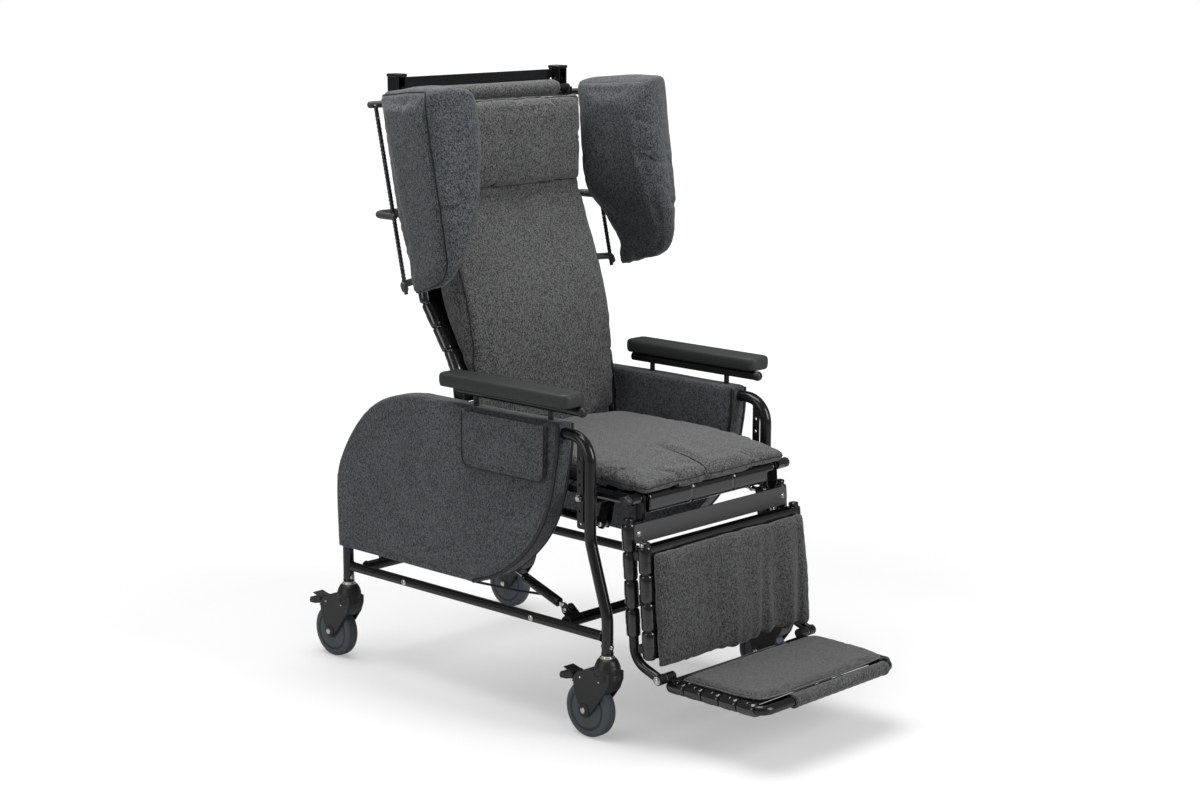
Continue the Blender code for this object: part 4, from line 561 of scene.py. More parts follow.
def row_tree(pivot):
    """Copies of a part along a line: the first at Start, each a Pitch further on, its Y along the line."""
    tree = bpy.data.node_groups.new(f"row along a line, {pivot.lower()}", "GeometryNodeTree")
    inlet = sockets(tree, {"Line": "Object", "Part": "Object", "Count": "Int", "Start": "Float", "Pitch": "Float",
                           "Finish": "Material"})
    line, part = [wired(tree, "GeometryNodeObjectInfo", "Geometry", {"Object": inlet[label]})
                  for label in ("Line", "Part")]
    reach = maths(tree, "MULTIPLY_ADD", wired(tree, "GeometryNodeInputIndex", "Index"), inlet["Pitch"],
                  inlet["Start"])
    spot = wired(tree, "GeometryNodeSampleCurve", None, {"Curves": line, "Length": reach}, mode="LENGTH").outputs
    points = wired(tree, "GeometryNodePoints", "Points", {"Count": inlet["Count"], "Position": spot["Position"]})
    turn = wired(tree, "FunctionNodeAlignRotationToVector", "Rotation", {"Vector": spot["Tangent"]}, axis="Y",
                 pivot_axis=pivot)
    put = wired(tree, "GeometryNodeInstanceOnPoints", "Instances",
                {"Points": points, "Instance": part, "Rotation": turn})
    return finish_tree(tree, put, inlet["Finish"])


FASTENERS = fastener_tree()
SIDE_ROW, FREE_ROW = row_tree("X"), row_tree("AUTO")


def scratch(data):
    item = bpy.data.objects.new("scratch", data)
    bpy.context.scene.collection.objects.link(item)
    return item


def evaluated(item):
    """The plain mesh of an object with its modifiers, which is then removed."""
    bpy.context.view_layer.update()
    mesh = bpy.data.meshes.new_from_object(item.evaluated_get(bpy.context.evaluated_depsgraph_get()))
    bpy.data.objects.remove(item, do_unlink=True)
    return mesh


def from_tree(host, tree, values):
    """The plain mesh that a geometry tree makes; the scratch objects that it used are cleared away."""
    step = host.modifiers.new("made", "NODES")
    step.node_group = tree
    for socket in tree.interface.items_tree:
        if socket.in_out == "INPUT" and socket.name in values:
            step[socket.identifier] = values[socket.name]
    mesh = evaluated(host)
    for item in [value for value in values.values() if isinstance(value, bpy.types.Object)]:
        bpy.data.objects.remove(item, do_unlink=True)
    return mesh


def fastened(part, places, finish, size=1.0):
    """The same fastener at several places, each given by its seat and the way that it points."""
    mesh = bpy.data.meshes.new("places")
    mesh.from_pydata([tuple(seat) for seat, _ in places], [], [])
    aims = mesh.attributes.new("aim", "FLOAT_VECTOR", "POINT").data
    aims.foreach_set("vector", [n for _, aim in places for n in aim])
    return from_tree(scratch(mesh), FASTENERS, {"Fastener": scratch(part), "Size": size, "Finish": finish})


def row(part, line, count, start, pitch, finish, tree=SIDE_ROW):
    """Copies of a part along the points of a line."""
    return from_tree(scratch(bpy.data.meshes.new("host")), tree,
                     {"Line": scratch(curve_of("line", line)), "Part": scratch(part), "Count": count,
                      "Start": start, "Pitch": pitch, "Finish": finish})


def socket_screw(radius, height):
    """A dome head on a thin washer, with a hexagon socket sunk in its crown."""
    rim = [(0, 0.0002), (0, radius * 1.35), (0.0008, radius * 1.35), (0.0008, radius)]
    dome = [(0.0008 + height * math.sin(a), radius * math.cos(a)) for a in (0.35, 0.7, 1.0)]
    socket = [(height * 0.86 + 0.0008, radius * 0.45), (height * 0.3, radius * 0.40), (height * 0.3, 0.0002)]
    return spindle((0, 0, 0), UP, rim + dome + socket, 24)


base_bolts = []
for side in SIDES.values():
    x = side * SIDE_X
    base_bolts += [(at(x + side * (RAIL_R - BOLT_SUNK), y, RAIL_Z), (side, 0, 0)) for y in RAIL_BOLTS]
    base_bolts += [(at(x, y + way * (TUBE_R - BOLT_SUNK), z), (0, way, 0)) for y, z in STEM_BOLTS for way in BOTH]
placed("base_bolts", fastened(socket_screw(BOLT_HEAD_R, BOLT_HEAD_H), base_bolts, ZINC), "base", *BRIGHT)

# The height bars stand in the corner between front leg and armrest line. Each is a flat bar with a row of
# holes, so that the seat can be bolted higher or lower.

BAR_Y, BAR_HALF_W, BAR_T = 0.006, 0.009, 0.005
BAR_FOOT_Z = 0.452
TILT_Z = 0.519
HOLE_R, HOLE_PITCH = 0.0036, 0.0285
HOLES_BELOW, HOLES_ABOVE = 2, 3


def changed(item, kind, **settings):
    """Adds a modifier to an object."""
    step = item.modifiers.new(kind.lower(), kind)
    for label, value in settings.items():
        setattr(step, label, value)
    return step


def cut_out(shape, tool, solver):
    """A mesh less another one."""
    item, tool = scratch(shape), scratch(tool)
    changed(item, "BOOLEAN", operation="DIFFERENCE", solver=solver, object=tool)
    mesh = evaluated(item)
    bpy.data.objects.remove(tool, do_unlink=True)
    return mesh


def pierced_bar(x0, x1):
    """The bar with its round holes bored through; its top follows the bend of the side frame."""
    bend_y, bend_z = FRONT_LEG_Y + FRONT_BEND, ARCH_TOP - FRONT_BEND
    reach = FRONT_BEND - TUBE_R - 0.0002
    foot = FRONT_LEG_Y + TUBE_R - 0.001
    right = BAR_Y + BAR_HALF_W
    outline = [(foot, BAR_FOOT_Z), (right - 0.005, BAR_FOOT_Z), (right - 0.0015, BAR_FOOT_Z + 0.0015),
               (right, BAR_FOOT_Z + 0.005)]
    tops = [BAR_Y + BAR_HALF_W * (1 - k / 4) for k in range(9)]
    outline += [(y, bend_z + math.sqrt(reach ** 2 - (bend_y - y) ** 2)) for y in tops]
    outline += [(BAR_Y - BAR_HALF_W, BAR_FOOT_Z + 0.018), (foot, BAR_FOOT_Z + 0.013)]
    hole = ((0, HOLE_R), (0.03, HOLE_R))
    drills = [spindle(at(min(x0, x1) - 0.01, BAR_Y, TILT_Z + k * HOLE_PITCH), (1, 0, 0), hole, 24)
              for k in range(-HOLES_BELOW, HOLES_ABOVE + 1)]
    return cut_out(plate(outline, x0, x1, 0.0005, 1), joined(drills), "EXACT")


for side_name, side in SIDES.items():
    bar = pierced_bar(side * (SIDE_X - BAR_T / 2), side * (SIDE_X + BAR_T / 2))
    placed(f"hole_bar_{side_name}", bar, "base", *COATED, f"height_bar_{side_name}")


# The upholstery. Each cushion is a foam core in a close-fitting cover of heathered charcoal cloth, sewn at
# its edges with a thin cord, and strapped on. The cloth is woven from dark and pale yarns.

FLECKS, YARNS = 720.0, 850.0      # per metre
DRAWN_IN = 0.0015                 # how far a cover may pull a corner of its foam inwards
COVER = {"quality": 4, "mass": 0.3, "tension_stiffness": 12.0, "compression_stiffness": 12.0,
         "shear_stiffness": 5.0, "use_pressure": True}
COVER_FRAMES = 20
LINE_STEP = 0.004
CORD_SIDES = 8
STITCH, STITCH_R, STITCH_PITCH = 0.0028, 0.00035, 0.0042


def heather_group():
    """Dark and pale yarns: fleck for the colour, weave for the bump, and a slow fading."""
    group, inlet, outlet = shader_group("heather cloth", {"Flecks per metre": FLECKS, "Yarns per metre": YARNS},
                                        ("Fleck", "Height", "Fade"))
    place = wired(group, "ShaderNodeTexCoord", "Object")
    drawn = wired(group, "ShaderNodeMapping", "Vector", {"Vector": place, "Scale": (1.0, 1.0, 0.5)})
    tufts = []
    for finer_by in (1.0, 1.9):
        scale = maths(group, "MULTIPLY", inlet["Flecks per metre"], finer_by)
        cells = wired(group, "ShaderNodeTexVoronoi", "Color", {"Vector": drawn, "Scale": scale})
        tufts.append(wired(group, "ShaderNodeSeparateColor", "Red", {"Color": cells}))
    fleck = maths(group, "ADD", maths(group, "MULTIPLY", tufts[0], 0.6), maths(group, "MULTIPLY", tufts[1], 0.4))
    sharp = wired(group, "ShaderNodeMapRange", "Result", {"Value": fleck, "From Min": 0.27, "From Max": 0.73},
                  interpolation_type="SMOOTHSTEP")
    parts = wired(group, "ShaderNodeSeparateXYZ", None, {"Vector": place}).outputs
    turn = maths(group, "MULTIPLY", inlet["Yarns per metre"], 2 * math.pi)
    across = maths(group, "ADD", parts["X"], parts["Y"])
    along = maths(group, "ADD", parts["Z"], maths(group, "MULTIPLY", parts["Y"], 0.35))
    warp, weft = [maths(group, "SINE", maths(group, "MULTIPLY", way, turn)) for way in (across, along)]
    weave = maths(group, "MULTIPLY", maths(group, "MULTIPLY", warp, weft), 0.15)
    feed(group, outlet, {"Fleck": sharp, "Height": maths(group, "ADD", weave, tufts[1]),
                         "Fade": cloudy(group, place, 7.0, 3.0)})
    return group


HEATHER = heather_group()


def fabric(name, dark, pale, flecks=FLECKS, relief=0.00008):
    paint = bpy.data.materials.new(name)
    paint.use_nodes = True
    tree = paint.node_tree
    cloth = wired(tree, "ShaderNodeGroup", None, {"Flecks per metre": flecks}, node_tree=HEATHER).outputs
    mixed = between(tree, cloth["Fleck"], dark, pale)
    values = {"Roughness": 0.78, "Specular IOR Level": 0.32, "Sheen Weight": 0.22, "Sheen Roughness": 0.45}
    return finished(paint, values, times(tree, mixed, spread(tree, cloth["Fade"], 0.84, 1.16)), cloth["Height"],
                    relief)


CLOTH = fabric("charcoal heather cloth", (0.013, 0.014, 0.0135), (0.150, 0.157, 0.151))
# a darker, cooler copy of the same cloth for the wings, side panels and pocket: painted shade for faces turned away
# from the key light
CLOTH_SHADED_SIDES = fabric("charcoal heather cloth, painted shade for the sides", (0.011, 0.013, 0.0145), (0.124, 0.134, 0.143))
# a darker copy of the same cloth for the calf pad, foot pad and sleeve: painted shade that holds down the top-lit
# legrest pads
CLOTH_SHADED_LEGS = fabric("charcoal heather cloth, painted shade for the legrest", (0.010, 0.011, 0.0105), (0.112, 0.118, 0.113))
EDGE_CORD = fabric("edge cord", (0.006, 0.0065, 0.007), (0.026, 0.027, 0.028), flecks=900.0)
PALE_CORD = fabric("pale edge cord", (0.060, 0.062, 0.060), (0.180, 0.184, 0.180), flecks=700.0)
THREAD = fabric("sewing thread", (0.050, 0.052, 0.052), (0.110, 0.112, 0.112), flecks=1500.0, relief=0.0001)


def clamped(value):
    return max(0.0, min(1.0, value))


def normals_of(mesh):
    return [n.vector.copy() for n in mesh.vertex_normals]


def form_of(node):
    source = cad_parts[node]
    mesh = source.data.copy()
    mesh.transform(source.matrix_world)
    return mesh


def even_form(mesh, voxel, shrink=0.0):
    """A form re-skinned in even small faces, drawn in a little along its normals."""
    item = scratch(mesh)
    changed(item, "REMESH", mode="VOXEL", voxel_size=voxel)
    changed(item, "SMOOTH", factor=0.5, iterations=3)
    mesh = evaluated(item)
    mesh.update()
    for vertex, normal in zip(mesh.vertices, normals_of(mesh)):
        vertex.co -= normal * shrink
    return mesh


def puffed(mesh, voxel, cap, pressure=4.0, shrink=0.001, held=(0, 0, 0)):
    """Foam under a cover: the form is blown up as cloth, no point by more than the cap, none against held."""
    mesh = even_form(mesh, voxel, shrink)
    before = [vertex.co.copy() for vertex in mesh.vertices]
    item = scratch(mesh)
    cloth = changed(item, "CLOTH")
    for label, value in COVER.items():
        setattr(cloth.settings, label, value)
    cloth.settings.uniform_pressure_force = pressure
    cloth.settings.effector_weights.gravity = 0.0
    cloth.point_cache.frame_end = COVER_FRAMES
    for number in range(1, COVER_FRAMES + 1):
        bpy.context.scene.frame_set(number)
    mesh = evaluated(item)
    bpy.context.scene.frame_set(1)
    moves = [vertex.co - old for vertex, old in zip(mesh.vertices, before)]
    drift = sum(moves, Vector()) / len(moves)
    held = Vector(held)
    for vertex, old, move, normal in zip(mesh.vertices, before, moves, normals_of(mesh)):
        move = move - drift
        move -= held * max(0.0, move.dot(held))
        move -= normal * min(0.0, move.dot(normal) + DRAWN_IN)
        vertex.co = old + (move if move.length < cap else move.normalized() * cap)
    item = scratch(mesh)
    changed(item, "SMOOTH", factor=0.5, iterations=2)
    changed(item, "SUBSURF", levels=1)
    return evaluated(item)


def finer(mesh):
    item = scratch(mesh)
    changed(item, "SUBSURF", levels=1)
    return evaluated(item)


def dense(line, step=LINE_STEP):
    """Points at even steps along a line."""
    line = [Vector(p) for p in line]
    out = [line[0]]
    for a, b in zip(line, line[1:]):
        count = max(1, round((b - a).length / step))
        out += [a.lerp(b, (k + 1) / count) for k in range(count)]
    return out


def evened(points, turns):
    """A line whose inner points are drawn towards their neighbours, some turns over."""
    for _ in range(turns):
        inner = [(a + b * 2 + c) / 4 for a, b, c in zip(points, points[1:], points[2:])]
        points = [points[0], *inner, points[-1]]
    return points


def laid(mesh, line, lift=0.0, ease_turns=4):
    """A line laid on a surface: drawn to it, evened out and drawn to it again."""
    skin = BVHTree.FromPolygons([v.co for v in mesh.vertices], [p.vertices for p in mesh.polygons])
    points = evened([skin.find_nearest(p)[0] for p in dense(line)], ease_turns)
    return [co + normal * lift for co, normal, _, _ in [skin.find_nearest(p) for p in points]]


def crease(mesh, line, width, depth):
    """Draws a surface in along a seam."""
    points = dense(line, width / 3)
    tree = KDTree(len(points))
    for k, point in enumerate(points):
        tree.insert(point, k)
    tree.balance()
    for vertex, normal in zip(mesh.vertices, normals_of(mesh)):
        near = tree.find(vertex.co)[2]
        if near < width:
            vertex.co -= normal * depth * (1 - (near / width) ** 2) ** 2
    mesh.update()


def rumpled(mesh, amount, stretch, seed, where=lambda p: 1.0):
    """Soft folds along one direction; where gives each point its share."""
    for vertex, normal in zip(mesh.vertices, normals_of(mesh)):
        share = where(vertex.co)
        if share > 0:
            place = Vector([c * s + seed for c, s in zip(vertex.co, stretch)])
            vertex.co += normal * amount * share * noise.noise(place)
    mesh.update()


def stitched(line, pitch=STITCH_PITCH):
    reach = sum((b - a).length for a, b in zip(line, line[1:]))
    stitch = sweep([(0, y * STITCH, z * STITCH_R) for y, z in ((-0.5, 0), (-0.3, 0.6), (0.3, 0.6), (0.5, 0))],
                   [STITCH_R * share for share in (0.5, 1.0, 1.0, 0.5)], 6)
    return row(stitch, line, int(reach / pitch), pitch / 2, pitch, THREAD, FREE_ROW)


def corded(name, shape, line, lift, radius, body, slot="seat_fabric", paint=EDGE_CORD, ease_turns=4):
    """An edge cord sewn on along a line."""
    return placed(name, sweep(laid(shape, line, lift, ease_turns), radius, CORD_SIDES), body, paint, slot)


def cushion(name, shape, body, node, paint=CLOTH, slot="seat_fabric"):
    """A padded piece in its cover, with its finish and the CAD node that it replaces."""
    item = placed(name, shape, body, paint, slot, node)
    return item


# The wings: thick foam bolsters at both sides of the head, each held on its own rod behind it. A corded
# seam runs round the outer edge of the front face, and a sewn one round the inner edge.

WING_OUTER = ((0.338, 0.470, 0.900), (0.352, 0.415, 0.914), (0.362, 0.383, 0.930), (0.370, 0.345, 0.948),
              (0.364, 0.320, 0.987), (0.359, 0.318, 1.030), (0.361, 0.323, 1.080), (0.364, 0.330, 1.128),
              (0.372, 0.350, 1.245), (0.376, 0.362, 1.340), (0.372, 0.376, 1.372), (0.356, 0.480, 1.364),
              (0.339, 0.575, 1.352))
WING_INNER = ((0.322, 0.460, 0.902), (0.344, 0.368, 0.926), (0.343, 0.328, 0.948), (0.330, 0.310, 0.987),
              (0.318, 0.305, 1.030), (0.300, 0.302, 1.080), (0.282, 0.306, 1.128), (0.262, 0.314, 1.245),
              (0.266, 0.328, 1.340), (0.272, 0.342, 1.366), (0.256, 0.450, 1.358), (0.248, 0.525, 1.352))
WING_MIDDLE_X, WING_MIDDLE_Y = 0.312, 0.470
WIDER, DEEPER = 0.12, 0.06        # how much fuller a wing is above its foot

for side_name, side in SIDES.items():
    shape = puffed(form_of(f"wing_{side_name}"), 0.006, 0.012, pressure=5.0, shrink=0.0005)
    for vertex in shape.vertices:
        full = clamped((vertex.co.z - 0.96) / 0.12)
        vertex.co.x += full * WIDER * (vertex.co.x - side * WING_MIDDLE_X)
        vertex.co.y += full * DEEPER * (vertex.co.y - ARM_FRONT - WING_MIDDLE_Y)
    outer_seam = laid(shape, [at(side * x, y + 0.022 * clamped((z - 0.95) / 0.06), z) for x, y, z in WING_OUTER])
    inner_seam = laid(shape, [at(side * x, y, z) for x, y, z in WING_INNER])
    crease(shape, outer_seam, 0.012, 0.0032)
    crease(shape, inner_seam, 0.009, 0.0018)
    rumpled(shape, 0.0018, (9.0, 9.0, 5.0), side * 3.1)
    # the wing's cloth is the copy darkened with painted shade
    cushion(f"wing_cushion_{side_name}", shape, "back", f"wing_{side_name}", CLOTH_SHADED_SIDES, "panel_fabric")
    corded(f"wing_cord_{side_name}", shape, outer_seam, 0.0006, 0.0021, "back", "panel_fabric")
    placed(f"wing_stitches_{side_name}", stitched(laid(shape, inner_seam, 0.0004)), "back", THREAD, "panel_fabric")

# The back cushion: one long pad from the seat to the headrest, tied round the canes. Its front face bows
# out from a corded edge, and the head pillow lies over its top, held by a flap behind.

BACK_FACE = ((0.560, 0.392), (0.70, 0.390), (0.80, 0.397), (0.90, 0.417), (1.0, 0.456), (1.085, 0.504),
             (1.112, 0.522))
PILLOW_EDGE_Y = 0.4985
PILLOW_EDGE = ((-0.213, 1.122), (0.213, 1.122), (0.216, 1.22), (0.213, 1.314), (-0.213, 1.314), (-0.216, 1.22),
               (-0.213, 1.122))
TOP_ROLL = (0.560, 1.335)
TOP_ROLL_PROFILE = ((0.0, 0.010), (0.004, 0.0150), (0.012, 0.0180), (0.040, 0.0190), (0.200, 0.0186),
                    (0.370, 0.0190), (0.398, 0.0180), (0.406, 0.0150), (0.410, 0.010))

shape = puffed(form_of("back_cushion"), 0.0075, 0.012, held=(0, 1, 0))
back_edges = {}
for side_name, side in SIDES.items():
    back_edges[side_name] = laid(shape, [at(side * 0.231, y, z) for z, y in BACK_FACE])
    crease(shape, back_edges[side_name], 0.010, 0.0016)
rumpled(shape, 0.0020, (3.0, 3.0, 9.0), 1.7)
cushion("back_pad", shape, "back", "back_cushion")
for side_name, edge in back_edges.items():
    corded(f"back_cord_{side_name}", shape, edge, 0.0003, 0.0016, "back")

shape = puffed(form_of("head_pillow"), 0.005, 0.010, pressure=5.0, held=(0, 1, 0))
for vertex in shape.vertices:
    vertex.co.z += 0.009 * clamped((vertex.co.z - 1.18) / 0.12)
pillow_edge = laid(shape, [at(x, PILLOW_EDGE_Y, z) for x, z in PILLOW_EDGE])
crease(shape, pillow_edge, 0.008, 0.0016)
rumpled(shape, 0.0022, (6.0, 6.0, 16.0), 4.2)
cushion("pillow", shape, "back", "head_pillow")
corded("pillow_cord", shape, pillow_edge, 0.0003, 0.0014, "back")
placed("top_bar_cover", spindle(at(-0.205, *TOP_ROLL), (1, 0, 0), TOP_ROLL_PROFILE, 36), "back", CLOTH,
       "seat_fabric", "top_roll")

# The seat cushion: a flatter pad over the seat straps, cut in at the front so that its two halves can
# give way by themselves. Its front edge hangs a little over the strap roll.

SEAT_EDGE = ((0.229, 0.372, 0.556), (0.233, 0.10, 0.551), (0.231, -0.120, 0.549), (0.10, -0.131, 0.549),
             (-0.10, -0.131, 0.549), (-0.231, -0.120, 0.549), (-0.233, 0.10, 0.551), (-0.229, 0.372, 0.556))
SEAT_FACE_Z = 0.556
SLIT_X, SLIT_HALF, SLIT_END = -0.036, 0.0016, 0.006
BLADE = ((-0.20, 0.50), (SLIT_END, 0.50), (SLIT_END + 0.004, 0.62), (-0.20, 0.62))


def right_half_lift(p):
    """The narrow right half of the front stands a little higher than the wide one at the slit."""
    y = p.y - ARM_FRONT
    return clamped((SLIT_END - y) / 0.09) * max(0.0, 1.0 - abs(p.x - SLIT_X - 0.02) / 0.05)


shape = puffed(form_of("seat_cushion"), 0.006, 0.012, held=(0, 0, -1))
seat_edge = laid(shape, [at(*spot) for spot in SEAT_EDGE])
crease(shape, seat_edge, 0.008, 0.0014)
crease(shape, laid(shape, [at(SLIT_X, y, 0.60) for y in (-0.14, -0.06, SLIT_END)]), 0.016, 0.0060)
for vertex in shape.vertices:
    if vertex.co.x > SLIT_X and vertex.co.z > SEAT_FACE_Z:
        vertex.co.z += 0.004 * right_half_lift(vertex.co)
shape = cut_out(shape, plate(BLADE, SLIT_X - SLIT_HALF, SLIT_X + SLIT_HALF, 0), "MANIFOLD")
rumpled(shape, 0.0011, (4.0, 4.0, 2.0), 2.4, lambda p: 1.0 if p.z > SEAT_FACE_Z else 0.0)
cushion("seat_pad", shape, "seat", "seat_cushion")
corded("seat_cord", shape, seat_edge, 0.0002, 0.0013, "seat")

# The calf pad and the foot pad: thin quilts with a bound edge, laid on the straps of the legrest and the
# footrest. The calf pad's cover is loose and folds a little at its lower right corner.

KNEE = (-0.100, 0.524)
LEG_SLOPE = math.radians(4.0)
CALF_EDGE = ((-0.238, 0.108), (0.238, 0.108), (0.243, 0.23), (0.243, 0.352), (0.10, 0.350), (-0.10, 0.352),
             (-0.243, 0.352), (-0.243, 0.23), (-0.238, 0.108))
FOOT_HINGE = (-0.190, 0.153)
FOOT_EDGE = ((-0.199, -0.225), (-0.201, -0.370), (-0.187, -0.414), (-0.153, -0.427), (0.153, -0.427),
             (0.187, -0.414), (0.201, -0.370), (0.199, -0.225), (-0.199, -0.225))
FOOT_WIDER, FOOT_LONGER, FOOT_FROM_Y = 1.09, 0.05, 0.225
FOOT_RAIL_Z, FOOT_FRONT = FOOT_HINGE[1] - 0.019, FOOT_HINGE[0] - 0.253
SLEEVE_ENDS = (-0.125, 0.192)
CUFF = [(0.0, 0.0120), (0.0006, 0.0146), (0.003, 0.0157), (0.009, 0.0159), (0.012, 0.0152), (0.0128, 0.0146)]


def leg(x, forward, down):
    """A point of the legrest, measured from the knee down the columns."""
    c, s = math.cos(LEG_SLOPE), math.sin(LEG_SLOPE)
    return at(x, KNEE[0] - forward * c - down * s, KNEE[1] - down * c + forward * s)


def calf_folds(p):
    """The share of the loose corner, low on one side."""
    return clamped((0.46 - p.z) / 0.16) * clamped((p.x + 0.16) / 0.20)


shape = puffed(form_of("calf_pad"), 0.005, 0.007, pressure=3.0, held=(0, 1, 0))
calf_edge = laid(shape, [leg(x, 0.056, down) for x, down in CALF_EDGE])
crease(shape, calf_edge, 0.008, 0.0012)
side_seam = laid(shape, [leg(0.214, 0.072, down) for down in (0.110, 0.23, 0.350)])
crease(shape, side_seam, 0.007, 0.0016)
rumpled(shape, 0.0130, (32.0, 9.0, 2.4), 0.8, calf_folds)
rumpled(shape, 0.0016, (8.0, 8.0, 6.0), 5.5)
# the calf pad's cloth is the copy darkened with painted shade
calf = (cushion("calf_quilt", shape, "legrest", "calf_pad", CLOTH_SHADED_LEGS),
        corded("calf_cord", shape, calf_edge, 0.0002, 0.0015, "legrest", paint=PALE_CORD),
        placed("calf_stitches", stitched(laid(shape, side_seam, 0.0003)), "legrest", THREAD, "seat_fabric"))
for pressed in calf:
    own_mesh(pressed)

shape = puffed(form_of("foot_pad"), 0.004, 0.005, pressure=3.0, shrink=0.001, held=(0, 0, -1))
for vertex in shape.vertices:
    vertex.co.x *= FOOT_WIDER
    vertex.co.y += FOOT_LONGER * (vertex.co.y - ARM_FRONT + FOOT_FROM_Y)
foot_edge = laid(shape, [at(x * FOOT_WIDER, y + FOOT_LONGER * (y + FOOT_FROM_Y), 0.1530) for x, y in FOOT_EDGE])
rumpled(shape, 0.0014, (7.0, 7.0, 3.0), 7.7)
# the foot pad's cloth is the copy darkened with painted shade
cushion("foot_quilt", shape, "footrest", "foot_pad", CLOTH_SHADED_LEGS)
corded("foot_cord", shape, foot_edge, 0.0002, 0.0015, "footrest", paint=PALE_CORD)

length = SLEEVE_ENDS[1] - SLEEVE_ENDS[0]
middle = [(0.0128 + (length - 0.0256) * k / 40, 0.0150 + 0.0003 * math.sin(k * 1.9)) for k in range(1, 40)]
sleeve = spindle(at(SLEEVE_ENDS[0], FOOT_FRONT, FOOT_RAIL_Z), (1, 0, 0),
                 CUFF + middle + [(length - a, r) for a, r in CUFF[::-1]], 32)
# the sleeve's cloth is the copy darkened with painted shade
placed("front_bar_sleeve", sleeve, "footrest", CLOTH_SHADED_LEGS, "seat_fabric", "foot_sleeve")


# The side panels: padded cloth slips pulled over the frame tubes, so that nothing catches between wheel
# and arm. A vinyl tape binds the curved front edge, and the right one has a flat pocket sewn on.

VINYL = hard_skin("black vinyl", (0.014, 0.015, 0.016), (0.22, 0.34), pebbles=900.0, pebble_height=0.00005)
PANEL_OUT, PANEL_IN = 0.3087, 0.2593
PANEL_FRONT = ((0.0545, 0.668), (0.0545, 0.6193), (0.072, 0.520), (0.098, 0.448), (0.130, 0.398), (0.178, 0.350),
               (0.238, 0.306), (0.318, 0.2785))
PANEL_FOOT = ((0.318, 0.2770), (0.7815, 0.2770))
PANEL_REAR = ((0.7815, 0.412), (0.7790, 0.450), (0.7690, 0.488), (0.7490, 0.528), (0.7220, 0.568),
              (0.6880, 0.604), (0.6560, 0.629), (0.6220, 0.648), (0.5850, 0.6615), (0.548, 0.6700),
              (0.500, 0.6750))
PANEL_TOP = (0.0545, 0.6750)
PANEL_RIM = 0.004
FACE_LIFT = 0.0003                # how far seams and stitches stand on the cloth


def eased(points, turns):
    return evened(dense([(0, *p) for p in points], 0.01), turns)


for side_name, side in SIDES.items():
    outer, inner = side * PANEL_OUT, side * PANEL_IN
    front = eased(PANEL_FRONT, 6)
    back = [*[(0, *p) for p in PANEL_FOOT], *eased(PANEL_REAR, 3), (0, *PANEL_TOP)]
    outline = [(p[1], p[2]) for p in [*front[1:-1], *back]]
    shape = even_form(plate(outline, inner, outer, PANEL_RIM, 3), 0.0046)
    seam = [at(outer, p.y + 0.0085, p.z + 0.006) for p in front]
    crease(shape, laid(shape, seam), 0.009, 0.0011)
    crease(shape, laid(shape, [at(outer, y, 0.2905) for y in (0.285, 0.5, 0.775)]), 0.009, 0.0010)
    rumpled(shape, 0.0026, (3.0, 5.0, 7.0), side * 2.2)
    # the panel's cloth is the copy darkened with painted shade
    cushion(f"panel_slip_{side_name}", shape, "base", f"side_panel_{side_name}", CLOTH_SHADED_SIDES, "panel_fabric")
    tape = [sweep([at(x - side * inset, p.y + 0.0022, p.z + 0.0016) for p in front], 0.0046, 12)
            for x, inset in ((outer, 0.0032), (inner, -0.0032))]
    placed(f"panel_tape_{side_name}", joined(tape), "base", VINYL, "panel_fabric")
    lines = [[point + Vector((0, 0.004, 0.004 * 0.7)) for point in seam],
             [at(outer, y, 0.2935) for y in (0.29, 0.5, 0.77)],
             [at(outer, p[1] - 0.0085, p[2] - 0.0085) for p in back[3:-2]]]
    placed(f"panel_stitches_{side_name}", joined([stitched(laid(shape, line, FACE_LIFT)) for line in lines]), "base",
           THREAD, "panel_fabric")

POCKET_RIM = ((0.084, 0.667), (0.086, 0.556), (0.098, 0.5425), (0.326, 0.5425), (0.339, 0.556), (0.339, 0.667))
POCKET_X = -0.309
POCKET_FACE = POCKET_X - 0.0115
shape = even_form(form_of("side_pocket"), 0.0024)
rumpled(shape, 0.0022, (5.0, 9.0, 11.0), 9.1)
pocket_hem = [at(POCKET_FACE, y, 0.657) for y in (0.086, 0.2, 0.337)]
pocket_low = [at(POCKET_FACE, y, 0.5505) for y in (0.098, 0.2, 0.328)]
crease(shape, laid(shape, pocket_hem), 0.005, 0.0010)
crease(shape, laid(shape, pocket_low), 0.004, 0.0008)
# the pocket's cloth is the copy darkened with painted shade
cushion("pocket_pouch", shape, "base", "side_pocket", CLOTH_SHADED_SIDES, "panel_fabric")
pocket_rows = (pocket_low, [p + Vector((0, 0, 0.0045)) for p in pocket_low], pocket_hem,
               [at(POCKET_FACE, 0.3335, z) for z in (0.556, 0.60, 0.660)])
# the dark cord round the pocket's rim is partly its piping and partly painted shadow: it darkens the open right edge
# and the edges where the pocket stands proud
corded("pocket_cord", shape, [at(POCKET_X - 0.0108, y, z) for y, z in POCKET_RIM], 0.0004, 0.0021, "base",
       "panel_fabric", ease_turns=1)
placed("pocket_stitches", joined([stitched(laid(shape, line, FACE_LIFT), 0.0036) for line in pocket_rows]), "base",
       THREAD, "panel_fabric")

# The armrests: self-skinned foam pads on a round tube, which stands on two short posts welded to the
# frame. The tube's front end is closed with a domed plastic plug.

